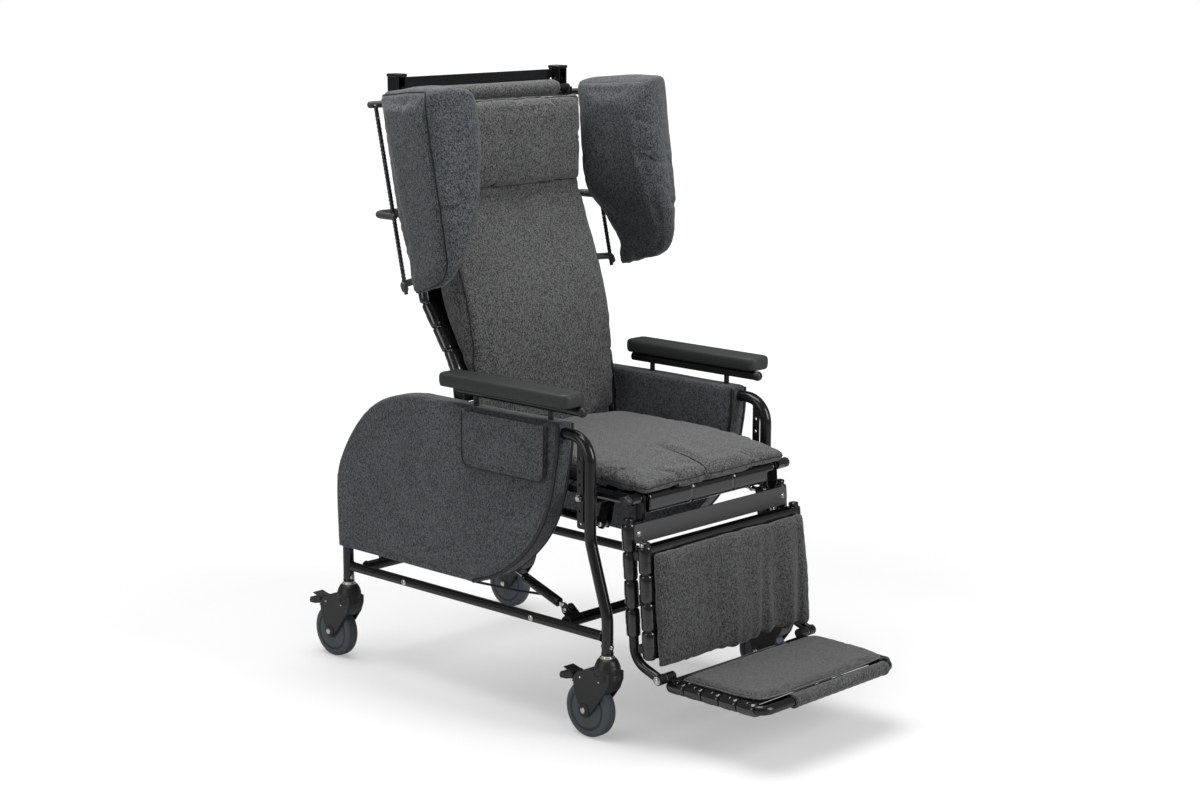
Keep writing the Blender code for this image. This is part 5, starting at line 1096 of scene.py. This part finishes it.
FOAM = hard_skin("self-skinned foam", (0.028, 0.030, 0.030), (0.46, 0.62), pebbles=1100.0, pebble_height=0.00008,
                 tone_spread=0.2, specular=0.42)
ARM_X, ARM_R, ARM_Z = 0.287, 0.0105, 0.704
ARM_ENDS, ARM_POSTS = (-0.006, 0.385), (0.095, 0.325)
ARM_PAD_X, ARM_PARTING_Z = 0.303, 0.7222
ARM_PARTING = ((-0.034, 0.02), (-0.034, 0.385), (-0.018, 0.402), (0.018, 0.402), (0.034, 0.385), (0.034, 0.02),
               (0.018, 0.004), (-0.018, 0.004), (-0.034, 0.02))
PLUG = ((0, 0.0100), (0.0, ARM_R + 0.0008), (0.0050, ARM_R + 0.0008), (0.0085, ARM_R - 0.0008), (0.0110, 0.0074),
        (0.0122, 0.0040), (0.0125, 0.0004))
POST_R, POST_FOOT_Z = 0.006, ARCH_TOP + TUBE_R

for side_name, side in SIDES.items():
    x = side * ARM_X
    pad = even_form(form_of(f"arm_pad_{side_name}"), 0.0026)
    crease(pad, laid(pad, [at(side * ARM_PAD_X + dx, y, ARM_PARTING_Z) for dx, y in ARM_PARTING]), 0.0035, 0.0007)
    cushion(f"arm_cushion_{side_name}", finer(pad), "base", f"arm_pad_{side_name}", FOAM, "armrest_foam")
    bars = [rod((x, ARM_ENDS[0] + 0.008, ARM_Z), (x, ARM_ENDS[1], ARM_Z), ARM_R)]
    bars += [rod((x, y, POST_FOOT_Z - 0.0004), (x, y, ARM_Z), POST_R, 16) for y in ARM_POSTS]
    bars += [weld_bead(at(x, y, POST_FOOT_Z + 0.0008), UP, POST_R, y * 30 + side) for y in ARM_POSTS]
    placed(f"arm_bar_{side_name}", joined(bars), "base", *COATED, f"arm_tube_{side_name}")
    placed(f"arm_plug_{side_name}", spindle(at(x, ARM_ENDS[0] + 0.0115, ARM_Z), (0, -1, 0), PLUG), "base", *MOULDED)

# The casters: a moulded nylon fork that turns on a steel stem, a wheel with a soft tread on a hard disc,
# and a foot pedal that locks wheel and swivel together.

TREAD = hard_skin("grey tread", (0.070, 0.082, 0.092), (0.50, 0.64), pebbles=1300.0, pebble_height=0.00004,
                  tone_spread=0.45)
DISC = hard_skin("moulded wheel disc", (0.022, 0.020, 0.019), (0.34, 0.50), pebbles=1000.0)
CASTERS = {"front_right": (-SIDE_X, FRONT_STEM_Y), "front_left": (SIDE_X, FRONT_STEM_Y),
           "rear_right": (-SIDE_X, REAR_STEM_Y), "rear_left": (SIDE_X, REAR_STEM_Y)}
WHEEL_R, TRAIL = 0.0625, 0.048
LEG_IN, LEG_OUT = 0.018, 0.023
FORK_SKIRT = [(-0.027, 0.158), (-0.027, 0.140), (-0.018, 0.118)]
FORK_TAIL = [(0.0690, 0.080), (0.0800, 0.108), (0.0815, 0.130), (0.0720, 0.1420), (0.0500, 0.1520), (0.0290, 0.1600)]
FORK_LEG = [*FORK_SKIRT, (0.0285, 0.058),
            *arc(TRAIL, WHEEL_R, 0.0165, 12, math.radians(195), math.radians(185)), *FORK_TAIL]
FORK_CROWN = [*FORK_SKIRT, *arc(TRAIL, WHEEL_R, 0.0668, 14, math.radians(140), math.radians(-84)), *FORK_TAIL[2:]]
HOUSING = ((0.137, 0.0240), (0.137, 0.0270), (0.139, 0.0290), (0.149, 0.0290), (0.1505, 0.0280), (0.152, 0.0280),
           (0.1535, 0.0288), (0.166, 0.0282), (0.168, 0.0268), (0.170, 0.0268), (0.178, 0.0232), (0.183, 0.0195),
           (0.186, 0.0150), (0.186, 0.006))
HUB = ((0, 0.0150), (0.0018, 0.0150), (0.0026, 0.0142), (0.0026, 0.0116), (0.0030, 0.0110))
AXLE_NUT = ((0, 0.0072), (0.0034, 0.0072), (0.0040, 0.0062))
STEM_RING = ((0.1850, 0.0150), (0.1850, 0.0163), (0.1868, 0.0163), (0.1868, 0.0135), (0.1902, 0.0135),
             (0.1902, 0.006))
FORK_RIVETS = ((0.0600, 0.1330), (0.0050, 0.1340))
HALF_TREAD = ((0.0150, 0.0494), (0.0155, 0.0500), (0.0155, 0.0535), (0.0147, 0.0575), (0.0130, 0.0602),
              (0.0100, 0.0618), (0.0060, 0.0625))
HALF_DISC = ((0.0160, 0.0010), (0.0160, 0.0120), (0.0148, 0.0128), (0.0130, 0.0150), (0.0122, 0.0220),
             (0.0128, 0.0290), (0.0140, 0.0296), (0.0140, 0.0310), (0.0126, 0.0318), (0.0124, 0.0400),
             (0.0138, 0.0408), (0.0152, 0.0420), (0.0158, 0.0440), (0.0158, 0.0470), (0.0145, 0.0480),
             (0.0135, 0.0489))
PEDAL_PIN = (0.0935, 0.1295)
PEDAL_LUG = band(PEDAL_PIN, 0.0065, (0.078, 0.1345), 0.0070)
PEDAL_CHEEK = [*arc(*PEDAL_PIN, 0.0085, 7, math.radians(60), math.radians(180)), (0.1060, 0.1190), (0.1060, 0.1325)]
PEDAL_TONGUE = ((0.1045, 0.1183), (0.124, 0.1170), (0.127, 0.1235), (0.124, 0.1305), (0.1045, 0.1332))
PEDAL_FLAP = ((0.0870, 0.1372), (0.0900, 0.1350), (0.1150, 0.1408), (0.1165, 0.1425), (0.1150, 0.1438))
PEDAL_RIBS = (0.107, 0.111, 0.115, 0.119, 0.123)


def caster(cx, cy):
    """The meshes of the caster whose stem stands at (cx, cy): fork, bright parts, tread, disc and pedal."""
    def cut(outline, x0, x1, edge, segments=2):
        return plate([(y + cy, z) for y, z in outline], cx + x0, cx + x1, edge, segments)

    def on_axle(x, way, profile, sides):
        return spindle(at(cx + x, cy + TRAIL, WHEEL_R), (way, 0, 0), profile, sides)

    def wheel(half_profile):
        return on_axle(0, 1, [*[(-x, r) for x, r in half_profile], *half_profile[::-1]], 72)

    stem_foot = at(cx, cy, 0.0)
    fork = [cut(FORK_LEG, s * LEG_IN, s * LEG_OUT, 0.0016, 3) for s in BOTH]
    fork += [cut(FORK_CROWN, 0.0002 - LEG_OUT, LEG_OUT - 0.0002, 0.0022, 3), spindle(stem_foot, UP, HOUSING, 40),
             cut(PEDAL_LUG, -0.006, 0.006, 0.0008)]
    fork += [on_axle(s * (LEG_OUT - 0.001), s, HUB, 32) for s in BOTH]
    rivets = [(at(cx + s * (LEG_OUT - 0.0002), cy + y, z), (s, 0, 0)) for s in BOTH for y, z in FORK_RIVETS]
    bright = [on_axle(s * (LEG_OUT + 0.0008), s, AXLE_NUT, 6) for s in BOTH]
    bright += [spindle(stem_foot, UP, STEM_RING, 36),
               fastened(spindle((0, 0, 0), UP, domed(0.0024, 0.0012), 16), rivets, ZINC)]
    pedal = [cut(PEDAL_CHEEK, s * 0.0066, s * 0.018, 0.0010) for s in BOTH]
    pedal.append(cut(PEDAL_TONGUE, -0.018, 0.018, 0.0016))
    for y in PEDAL_RIBS:
        z = 0.1322 - (y - 0.1045) * 0.13
        pedal.append(rod((cx - 0.0155, cy + y, z), (cx + 0.0155, cy + y, z), 0.0011, 8))
    pedal.append(cut(PEDAL_FLAP, -0.015, 0.015, 0.0008))
    return joined(fork), joined(bright), wheel(HALF_TREAD), wheel(HALF_DISC), joined(pedal)


for spot_name, spot in CASTERS.items():
    fork, bright, tread, disc, pedal = caster(*spot)
    placed(f"fork_{spot_name}", fork, f"caster_{spot_name}", *MOULDED, f"caster_fork_{spot_name}")
    placed(f"caster_steel_{spot_name}", bright, f"caster_{spot_name}", *BRIGHT)
    placed(f"tread_{spot_name}", tread, f"wheel_{spot_name}", TREAD, "wheel_tread", f"caster_tyre_{spot_name}")
    placed(f"disc_{spot_name}", disc, f"wheel_{spot_name}", DISC, "wheel_disc", f"caster_disc_{spot_name}")
    placed(f"pedal_{spot_name}", pedal, f"lock_{spot_name}", *MOULDED, f"caster_pedal_{spot_name}")


# The legrest. Two steel columns hang from the knee pivots and curve forward to the footrest's hinge. Broad
# straps of glossy vinyl are wound tightly round them, and round the calf frame in front of them.


def boss(bore, rim, radius, chamfer, length):
    """Profile of a short tube with eased ends."""
    return ((0, bore), (0, rim), (chamfer, radius), (length - chamfer, radius), (length, rim), (length, bore))


def washer(rim, bore=0.0045, thick=0.0012):
    return ((0, bore), (0, rim), (thick, rim), (thick, bore))


STRAPPING = hard_skin("glossy vinyl strap", (0.006, 0.0065, 0.007), (0.07, 0.16), coat=0.7, pebbles=500.0,
                      pebble_height=0.00012, tone_spread=0.5)
STRAPPED = (STRAPPING, "black_strapping")
# a satin grey lighter than the black frame: partly the parts' own coat, partly painted light for the reflections that
# the wing carriers and the cross plate catch
GREY_COAT_PAINTED_LIGHT = hard_skin("satin grey coat", (0.055, 0.056, 0.056), (0.30, 0.46), pebbles=700.0, pebble_height=0.00004,
                      worn=(0.16, 0.16, 0.16), worn_amount=0.3)
COLUMN_X, COLUMN_R, WRAP_R = 0.250, 0.0105, 0.0152
STRAP_W, STRAP_PITCH, SPAN_STEPS = 0.057, 0.061, 8
REAR_F, FRONT_F = -0.007, 0.034                # forward of the knee's line: the columns and the calf frame
COLUMN_FOOT = (0.0639, 0.3764)
CALF_X, CALF_TOP, CALF_FOOT = 0.2465, 0.089, 0.338
LEG_CROSS_R, LEG_CROSS_DOWN = 0.008, 0.112
LEG_SPRING_X, LEG_MOVING, LEG_FIXED = 0.190, (-0.095, 0.470), (0.160, 0.480)
COLUMN_CAP = ((0, 0.0108), (0, 0.0114), (0.0035, 0.0114), (0.0050, 0.0104), (0.0062, 0.0080), (0.0068, 0.0040),
              (0.0069, 0.0004))
CALF_CAP = ((0, 0.0106), (0, 0.0113), (0.0030, 0.0113), (0.0050, 0.0095), (0.0062, 0.0050), (0.0064, 0.0004))
# outlines on the legrest, as (forward, down) pairs
HINGE_CHEEK = [(-f, -d) for f, d in ((0.0125, -0.076), *arc(0.0, 0.0, 0.0130, 12, math.radians(8), math.radians(164)),
                                     (-0.0130, -0.038), (-0.0058, -0.048), (-0.0058, -0.076))]
HINGE_BOSS = boss(0.0040, 0.0104, 0.0113, 0.0008, 0.0210)
HINGE_TAB = ((0.0045, 0.074), (-0.0140, 0.074), (-0.0140, 0.048), (0.0045, 0.048))


def wrap(rail_r, outer_r, width, middle=(0, 0, 0)):
    """One strap's turn round a tube: a low barrel with rolled ends and a lapped edge."""
    half = width / 2
    profile = ((-half, rail_r - 0.0004), (-half, outer_r - 0.0016), (-half + 0.0012, outer_r - 0.0006),
               (-half + 0.004, outer_r), (-half * 0.45, outer_r + 0.0005), (half * 0.08, outer_r + 0.0006),
               (half * 0.11, outer_r - 0.0002), (half * 0.55, outer_r + 0.0001), (half - 0.004, outer_r),
               (half - 0.0012, outer_r - 0.0006), (half, outer_r - 0.0016), (half, rail_r - 0.0004))
    return spindle(middle, (0, 1, 0), profile)


def strap(half_span, rail_r, outer_r, width, slack=0.0015):
    """A strap round two rails: a turn on each, and between them two spans that sag towards each other."""
    parts = [wrap(rail_r, outer_r, width, (s * half_span, 0, 0)) for s in BOTH]
    shares = [k / SPAN_STEPS for k in range(-SPAN_STEPS, SPAN_STEPS + 1)]
    for s in BOTH:
        span = [(half_span * share, 0, s * (outer_r - 0.0011 - slack * (1 - share ** 2))) for share in shares]
        parts.append(sweep(span, width / 2, flat=(Vector(UP), 1 - 0.0010 / (width / 2))))
    return joined(parts)


def leg_plate(pairs, x0, x1, edge):
    """A plate on the legrest, cut to (forward, down) pairs."""
    spots = [leg(0, forward, down) for forward, down in pairs]
    return plate([(spot.y - ARM_FRONT, spot.z) for spot in spots], x0, x1, edge)


def leg_crossbar(half, forward, down):
    return sweep([leg(-half, forward, down), leg(half, forward, down)], LEG_CROSS_R, 24)


column_lines = []
leg_parts = []
for side in SIDES.values():
    x = side * COLUMN_X
    line = rounded([leg(x, REAR_F, 0.042), leg(x, REAR_F, 0.345), leg(x, *COLUMN_FOOT)], (0.050,))
    column_lines.append(dense(line, 0.01))
    up = (line[0] - line[1]).normalized()
    leg_parts += [sweep(line, COLUMN_R), spindle(line[0] - up * 0.002, up, COLUMN_CAP),
                  spindle(at(x - side * 0.0105, *FOOT_HINGE), (side, 0, 0), HINGE_BOSS),
                  leg_plate(HINGE_CHEEK, side * 0.2150, side * 0.2200, 0.0008),
                  leg_plate(HINGE_TAB, side * 0.2185, side * (COLUMN_X - 0.004), 0.0014)]
cross_spot = leg(0, REAR_F, LEG_CROSS_DOWN)
leg_parts += [leg_crossbar(COLUMN_X, REAR_F, LEG_CROSS_DOWN),
              *spring_ears(LEG_SPRING_X, LEG_MOVING, (cross_spot.y - ARM_FRONT, cross_spot.z), 0.009, 0.011)]
placed("legrest_columns", joined(leg_parts), "legrest", POWDER_COAT, "black_strapping", "legrest_frame")
wraps = [row(wrap(COLUMN_R, WRAP_R, STRAP_W), line, 4, 0.008 + STRAP_W / 2, STRAP_PITCH, STRAPPING)
         for line in column_lines]
placed("column_wraps", joined(wraps), "legrest", *STRAPPED)
calf_line = [leg(0, FRONT_F, down) for down in (CALF_TOP, CALF_FOOT)]
calf_straps = row(strap(CALF_X, COLUMN_R, WRAP_R, STRAP_W), calf_line, 4, 0.006 + STRAP_W / 2, STRAP_PITCH,
                  STRAPPING)
placed("calf_straps", calf_straps, "legrest", *STRAPPED)
calf_tubes = [sweep([leg(s * CALF_X, FRONT_F, down) for down in (CALF_TOP, CALF_FOOT)], COLUMN_R) for s in BOTH]
calf_tubes += [spindle(leg(s * CALF_X, FRONT_F, 0.0905), leg(0, 0, -1) - leg(0, 0, 0), CALF_CAP) for s in BOTH]
for s in BOTH:
    for top in (0.108, 0.308):
        lug = ((0.0068, top), (FRONT_F, top), (FRONT_F, top + 0.018), (0.0068, top + 0.018))
        calf_tubes.append(leg_plate(lug, s * 0.2385, s * 0.2545, 0.0012))
calf_tubes.append(leg_crossbar(CALF_X, FRONT_F, 0.324))
placed("calf_tubes", joined(calf_tubes), "legrest", POWDER_COAT, "black_strapping", "calf_frame")
leg_bolts = [(leg(s * 0.2380, 0.0106, 0.0715), leg(0, 1, 0) - leg(0, 0, 0)) for s in BOTH]
leg_bolts += [(leg(s * (CALF_X + 0.0102), FRONT_F, 0.0925), (s, 0, 0)) for s in BOTH]
placed("legrest_bolts", fastened(socket_screw(0.0042, 0.0022), leg_bolts, ZINC), "legrest", *BRIGHT)
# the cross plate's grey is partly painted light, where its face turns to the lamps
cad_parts["cross_plate"].data.materials[0] = GREY_COAT_PAINTED_LIGHT

# The footrest. A flat U of tube, hinged under the columns, with its own straps across it. Washers and a
# nut lie between each rail and its column.

FOOT_X, FOOT_REAR = 0.220, FOOT_HINGE[0] + 0.001
FOOT_WRAP_R, FOOT_STRAP_W, FOOT_STRAP_PITCH = 0.0146, 0.0455, 0.0478
HINGE_STEPS = ((0, 0.0045), (0, 0.0098), (0.0011, 0.0098), (0.0011, 0.0085), (0.0022, 0.0085), (0.0022, 0.0045))
HINGE_NUT = ((0, 0.0072), (0.0032, 0.0072), (0.0038, 0.0062), (0.0038, 0.0032), (0.0040, 0.0028))
hinge_y, hinge_z = FOOT_HINGE
hinge_web = ((hinge_y - 0.0095, hinge_z - 0.003), (hinge_y + 0.0095, hinge_z - 0.003),
             (hinge_y + 0.0008, FOOT_RAIL_Z), (hinge_y - 0.022, FOOT_RAIL_Z))
foot_line = rounded([at(x, y, FOOT_RAIL_Z) for x, y in ((-FOOT_X, FOOT_REAR), (-FOOT_X, FOOT_FRONT),
                                                        (FOOT_X, FOOT_FRONT), (FOOT_X, FOOT_REAR))], (0.026, 0.026))
foot_parts = [sweep(foot_line, COLUMN_R)]
foot_steel = []
for side in SIDES.values():
    foot_parts += [spindle(at(side * 0.2095, *FOOT_HINGE), (side, 0, 0), boss(0.004, 0.0098, 0.0108, 0.001, 0.0265)),
                   plate(hinge_web, side * 0.2145, side * 0.2255, 0.0010)]
    foot_steel += [spindle(at(side * x, *FOOT_HINGE), (side, 0, 0), profile, sides)
                   for x, profile, sides in ((0.2368, HINGE_STEPS, 28), (0.2608, washer(0.0092), 28),
                                             (0.2618, HINGE_NUT, 6))]
placed("foot_tubes", joined(foot_parts), "footrest", POWDER_COAT, "black_strapping", "foot_frame")
placed("foot_hinge_steel", joined(foot_steel), "footrest", *BRIGHT)
foot_straps = row(strap(FOOT_X, COLUMN_R, FOOT_WRAP_R, FOOT_STRAP_W, 0.001),
                  [at(0, FOOT_REAR, FOOT_RAIL_Z), at(0, FOOT_FRONT, FOOT_RAIL_Z)], 5, 0.003 + FOOT_STRAP_W / 2,
                  FOOT_STRAP_PITCH, STRAPPING)
placed("foot_straps", foot_straps, "footrest", *STRAPPED)


# The back frame. Two bent canes rise from the recline pivots and carry twelve straps; a rod across their
# tops carries the wings' rails, and a bowed tube on each side holds the rail at half its height.

BACK_X, BACK_R = 0.240, 0.011
RECLINE = (0.405, 0.5235)
CANE = (RECLINE, (0.436, 0.735), (0.545, 0.890), (0.560, 1.335))
RAIL_X, WING_RAIL_R = 0.331, 0.0045
RAIL_LOW, RAIL_HIGH = (0.5000, 0.9055), (0.5921, 1.3133)
CARRIER_R, CARRIER_Y = 0.008, 0.604
LOW_Z, MID_Z, TOP_Z, CROSS_LOW_Z = 0.928, 1.075, 1.318, 0.5575
BOW_Y, TOP_ROD_X = 0.606, 0.337
WINDING_TURNS, WINDING_STEPS, WINDING_R = 46, 14, 0.0008
RECLINE_SPRING_X, RECLINE_FIXED, RECLINE_MOVING = -0.170, (0.050, 0.435), (0.420, 0.447)
RECLINE_BOSS = boss(0.0044, 0.0110, 0.0116, 0.0010, 0.0224)

canes = {side: side_line(side * BACK_X, CANE, (0.12, 0.12)) for side in SIDES.values()}


def cane_y(z):
    line = canes[1]
    for low, high in zip(line, line[1:]):
        if low.z <= z <= high.z:
            return low.lerp(high, (z - low.z) / (high.z - low.z)).y - ARM_FRONT


def rail_y(z):
    return RAIL_LOW[0] + (RAIL_HIGH[0] - RAIL_LOW[0]) * (z - RAIL_LOW[1]) / (RAIL_HIGH[1] - RAIL_LOW[1])


def round_end(line, radius, turns=5):
    """A bar whose last end is closed with a half ball."""
    ahead = (line[-1] - line[-2]).normalized()
    angles = [math.radians(90 * k / turns) for k in range(1, turns + 1)]
    points = list(line) + [line[-1] + ahead * radius * math.sin(a) for a in angles]
    return sweep(points, [radius] * len(line) + [max(radius * math.cos(a), 0.0003) for a in angles], 24)


black_parts, grey_parts, cord_parts = [], [], []
for side, line in canes.items():
    x, rail_x, foot_x = side * BACK_X, side * RAIL_X, side * (RAIL_X + 0.003)
    low_end, high_end = at(rail_x, *RAIL_LOW), at(rail_x, *RAIL_HIGH)
    black_parts += [sweep(line, BACK_R),
                    spindle(at(x - side * 0.0112, *RECLINE), (side, 0, 0), RECLINE_BOSS),
                    sweep(rounded([low_end, high_end, at(rail_x, CARRIER_Y, TOP_Z)], (0.006,)), WING_RAIL_R, 20),
                    rod((x, cane_y(TOP_Z), TOP_Z), (x, CARRIER_Y, TOP_Z), CARRIER_R - 0.001, 20)]
    black_parts += [rod((side * 0.300, far, z), (side * 0.300, near, z), 0.006, 18)
                    for z, near, far in ((MID_Z, 0.5199, BOW_Y), (TOP_Z, 0.5628, CARRIER_Y))]
    bowed = rounded([at(x, cane_y(MID_Z), MID_Z), at(x, BOW_Y, MID_Z), at(rail_x, BOW_Y, MID_Z),
                     at(rail_x, rail_y(MID_Z), MID_Z)], (0.030, 0.030))
    foot = rounded([at(x, cane_y(LOW_Z), LOW_Z), at(foot_x, rail_y(LOW_Z) + 0.001, LOW_Z),
                    at(foot_x, rail_y(LOW_Z) - 0.004, LOW_Z - 0.010)], (0.006,))
    grey_parts += [round_end(bowed, CARRIER_R), round_end(foot, CARRIER_R)]
    square = ring_frame((high_end - low_end).normalized())
    count = WINDING_TURNS * WINDING_STEPS
    wound = [low_end.lerp(high_end, 0.03 + 0.94 * k / count)
             + outwards(square, 2 * math.pi * k / WINDING_STEPS) * (WING_RAIL_R + 0.0004) for k in range(count + 1)]
    cord_parts.append(sweep(wound, WINDING_R, 6))
grey_parts.append(crossbar(TOP_ROD_X, CARRIER_Y, TOP_Z, CARRIER_R, 24))
grey_parts += [spindle(at(s * TOP_ROD_X, CARRIER_Y, TOP_Z), (s, 0, 0), domed(CARRIER_R, 0.006), 24) for s in BOTH]
low_y = cane_y(CROSS_LOW_Z)
black_parts += [crossbar(BACK_X, 0.560, 1.333, BACK_R - 0.001, 24), crossbar(BACK_X, low_y, CROSS_LOW_Z, 0.008, 24),
                *spring_ears(RECLINE_SPRING_X, RECLINE_MOVING, (low_y, CROSS_LOW_Z), 0.009)]
placed("back_tubes", joined(black_parts), "back", *COATED, "back_frame")
# the carriers' grey is partly painted reflection on glossy black tube
placed("wing_carriers", joined(grey_parts), "back", GREY_COAT_PAINTED_LIGHT, "grey_coated")
placed("rail_winding", joined(cord_parts), "back", *STRAPPED)
back_mid = [Vector((0, p.y, p.z)) for p in dense(canes[1], 0.01)]
back_straps = row(strap(BACK_X, BACK_R, BACK_R + 0.003, STRAP_W), back_mid, 12, 0.078 + STRAP_W / 2, STRAP_PITCH,
                  STRAPPING)
placed("back_straps", back_straps, "back", *STRAPPED)

# The push bar across the top is a flat black bar, clamped at each end between two slats under a moulded
# cap. The seat frame keeps its own form; its knobs, washers and springs are turned parts.

ROLL_FACE_Y, ROLL_Z, ROLL_SEAM_X = -0.105 - 0.013, 0.5125, 0.068
KNOB = ((0, 0.0042), (0.0390, 0.0042), (0.0390, 0.0100), (0.0400, 0.0113), (0.0500, 0.0115), (0.0525, 0.0105),
        (0.0535, 0.0085), (0.0537, 0.0004))
KNOB_X = 0.240 + 0.0115 + 0.0018
KNEE_WASHERS = (0.2522, 0.2133, 0.2222)
KNEE_NUT = ((0, 0.0045), (0, 0.0074), (0.0055, 0.0074), (0.0060, 0.0064), (0.0060, 0.0034), (0.0078, 0.0032))
TILT_NUT = ((0, 0.0082), (0.0012, 0.0082), (0.0012, 0.0066), (0.0056, 0.0066), (0.0064, 0.0056), (0.0064, 0.0030))

for node, paint in (("push_bar", POWDER_COAT), ("release_lever", ZINC), ("seat_frame", STRAPPING)):
    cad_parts[node].data.materials[0] = paint
push_bolts = [(at(s * x, 0.6098, 1.350), (0, -1, 0)) for s in BOTH for x in (0.2550, 0.2350)]
placed("push_bar_bolts", fastened(socket_screw(0.0040, 0.0020), push_bolts, ZINC), "back", *BRIGHT)

shape = even_form(form_of("front_roll"), 0.0024)
for s in BOTH:
    ring = [at(s * ROLL_SEAM_X, ROLL_FACE_Y, ROLL_Z + dz) for dz in (-0.02, 0.0, 0.02)]
    crease(shape, laid(shape, ring), 0.006, 0.0016)
placed("seat_front_roll", finer(shape), "seat", *STRAPPED, "front_roll")
for side_name, side in SIDES.items():
    knob = spindle(at(side * KNOB_X - side * 0.0380, *KNEE), (side, 0, 0), KNOB, 10)
    placed(f"knee_knob_{side_name}", knob, "seat", *MOULDED, f"pivot_knob_{side_name}")
    steel = [spindle(at(side * x, *KNEE), (side, 0, 0), washer(0.0094)) for x in KNEE_WASHERS]
    steel.append(spindle(at(side * 0.2138, *KNEE), (-side, 0, 0), KNEE_NUT, 6))
    placed(f"knee_washers_{side_name}", joined(steel), "seat", *BRIGHT)
    tilt_nut = spindle(at(side * (SIDE_X + 0.0055), BAR_Y, TILT_Z), (side, 0, 0), TILT_NUT, 6)
    placed(f"tilt_bolt_{side_name}", tilt_nut, "seat", *BRIGHT)

# The gas springs: a black cylinder and a bright rod, each end in an eye on a pin. One tilts the seat, one
# holds the back and one lifts the legrest.

EYE = boss(0.0036, 0.008, 0.009, 0.001, 0.012)
HALF_EYE = Vector((0.006, 0, 0))
# each spring: its place, its fixed and moving pin, the lengths of barrel and rod, the barrel's distance from
# the fixed pin, and the body of that pin
SPRINGS = {"tilt": (TILT_X, TILT_FIXED, (0.360, 0.345), 0.115, 0.165, 0.030, "base"),
           "recline": (RECLINE_SPRING_X, RECLINE_FIXED, RECLINE_MOVING, 0.160, 0.215, 0.015, "seat"),
           "legrest": (LEG_SPRING_X, LEG_FIXED, LEG_MOVING, 0.115, 0.205, 0.015, "seat")}
# profiles from the barrel's near end, its far end, the moving pin and the fixed pin
BARREL_NEAR = ((-0.004, 0.0050), (-0.002, 0.0050), (-0.0015, 0.0092), (0, 0.0108), (0.004, 0.0110), (0.0045, 0.0104),
               (0.006, 0.0104), (0.0065, 0.0110))
BARREL_FAR = ((-0.012, 0.0110), (-0.011, 0.0104), (-0.009, 0.0104), (-0.008, 0.0110), (-0.002, 0.0108), (0, 0.0086),
              (0, 0.0044))
ROD_END = ((-0.033, 0.0040), (-0.0325, 0.0068), (-0.028, 0.0068), (-0.0275, 0.0056), (-0.006, 0.0056))
EYE_SHANK = ((0.005, 0.0052), (0.012, 0.0052), (0.0125, 0.0076), (0.0175, 0.0076), (0.018, 0.0050))
PIN_NUT = ((0, 0.0060), (0.0034, 0.0060), (0.0040, 0.0050))


def along(offset, profile):
    return [(offset + a, r) for a, r in profile]


for spring, (x, fixed, moving, barrel, rod_length, neck, pin_body) in SPRINGS.items():
    fixed, moving = at(x, *fixed), at(x, *moving)
    reach = (moving - fixed).length
    ahead = (moving - fixed).normalized()
    body = spindle(fixed, ahead, along(neck, BARREL_NEAR) + along(neck + barrel, BARREL_FAR), 32)
    placed(f"{spring}_barrel", body, f"{spring}_barrel", *COATED, f"{spring}_cylinder")
    shaft = [spindle(fixed, ahead, [(reach - rod_length, 0.0040), *along(reach, ROD_END)], 24),
             spindle(moving - HALF_EYE, (1, 0, 0), EYE)]
    placed(f"{spring}_shaft", joined(shaft), f"{spring}_shaft", *BRIGHT, f"{spring}_rod")
    end_eye = [spindle(fixed - HALF_EYE, (1, 0, 0), EYE),
               spindle(fixed, ahead, [*EYE_SHANK, (max(neck - 0.003, 0.0185), 0.0050)], 20)]
    placed(f"{spring}_end_eye", joined(end_eye), f"{spring}_barrel", *BRIGHT)
    nuts = [spindle(fixed + Vector((s * 0.0104, 0, 0)), (s, 0, 0), PIN_NUT, 6) for s in BOTH]
    placed(f"{spring}_pin_nuts", joined(nuts), pin_body, *BRIGHT)
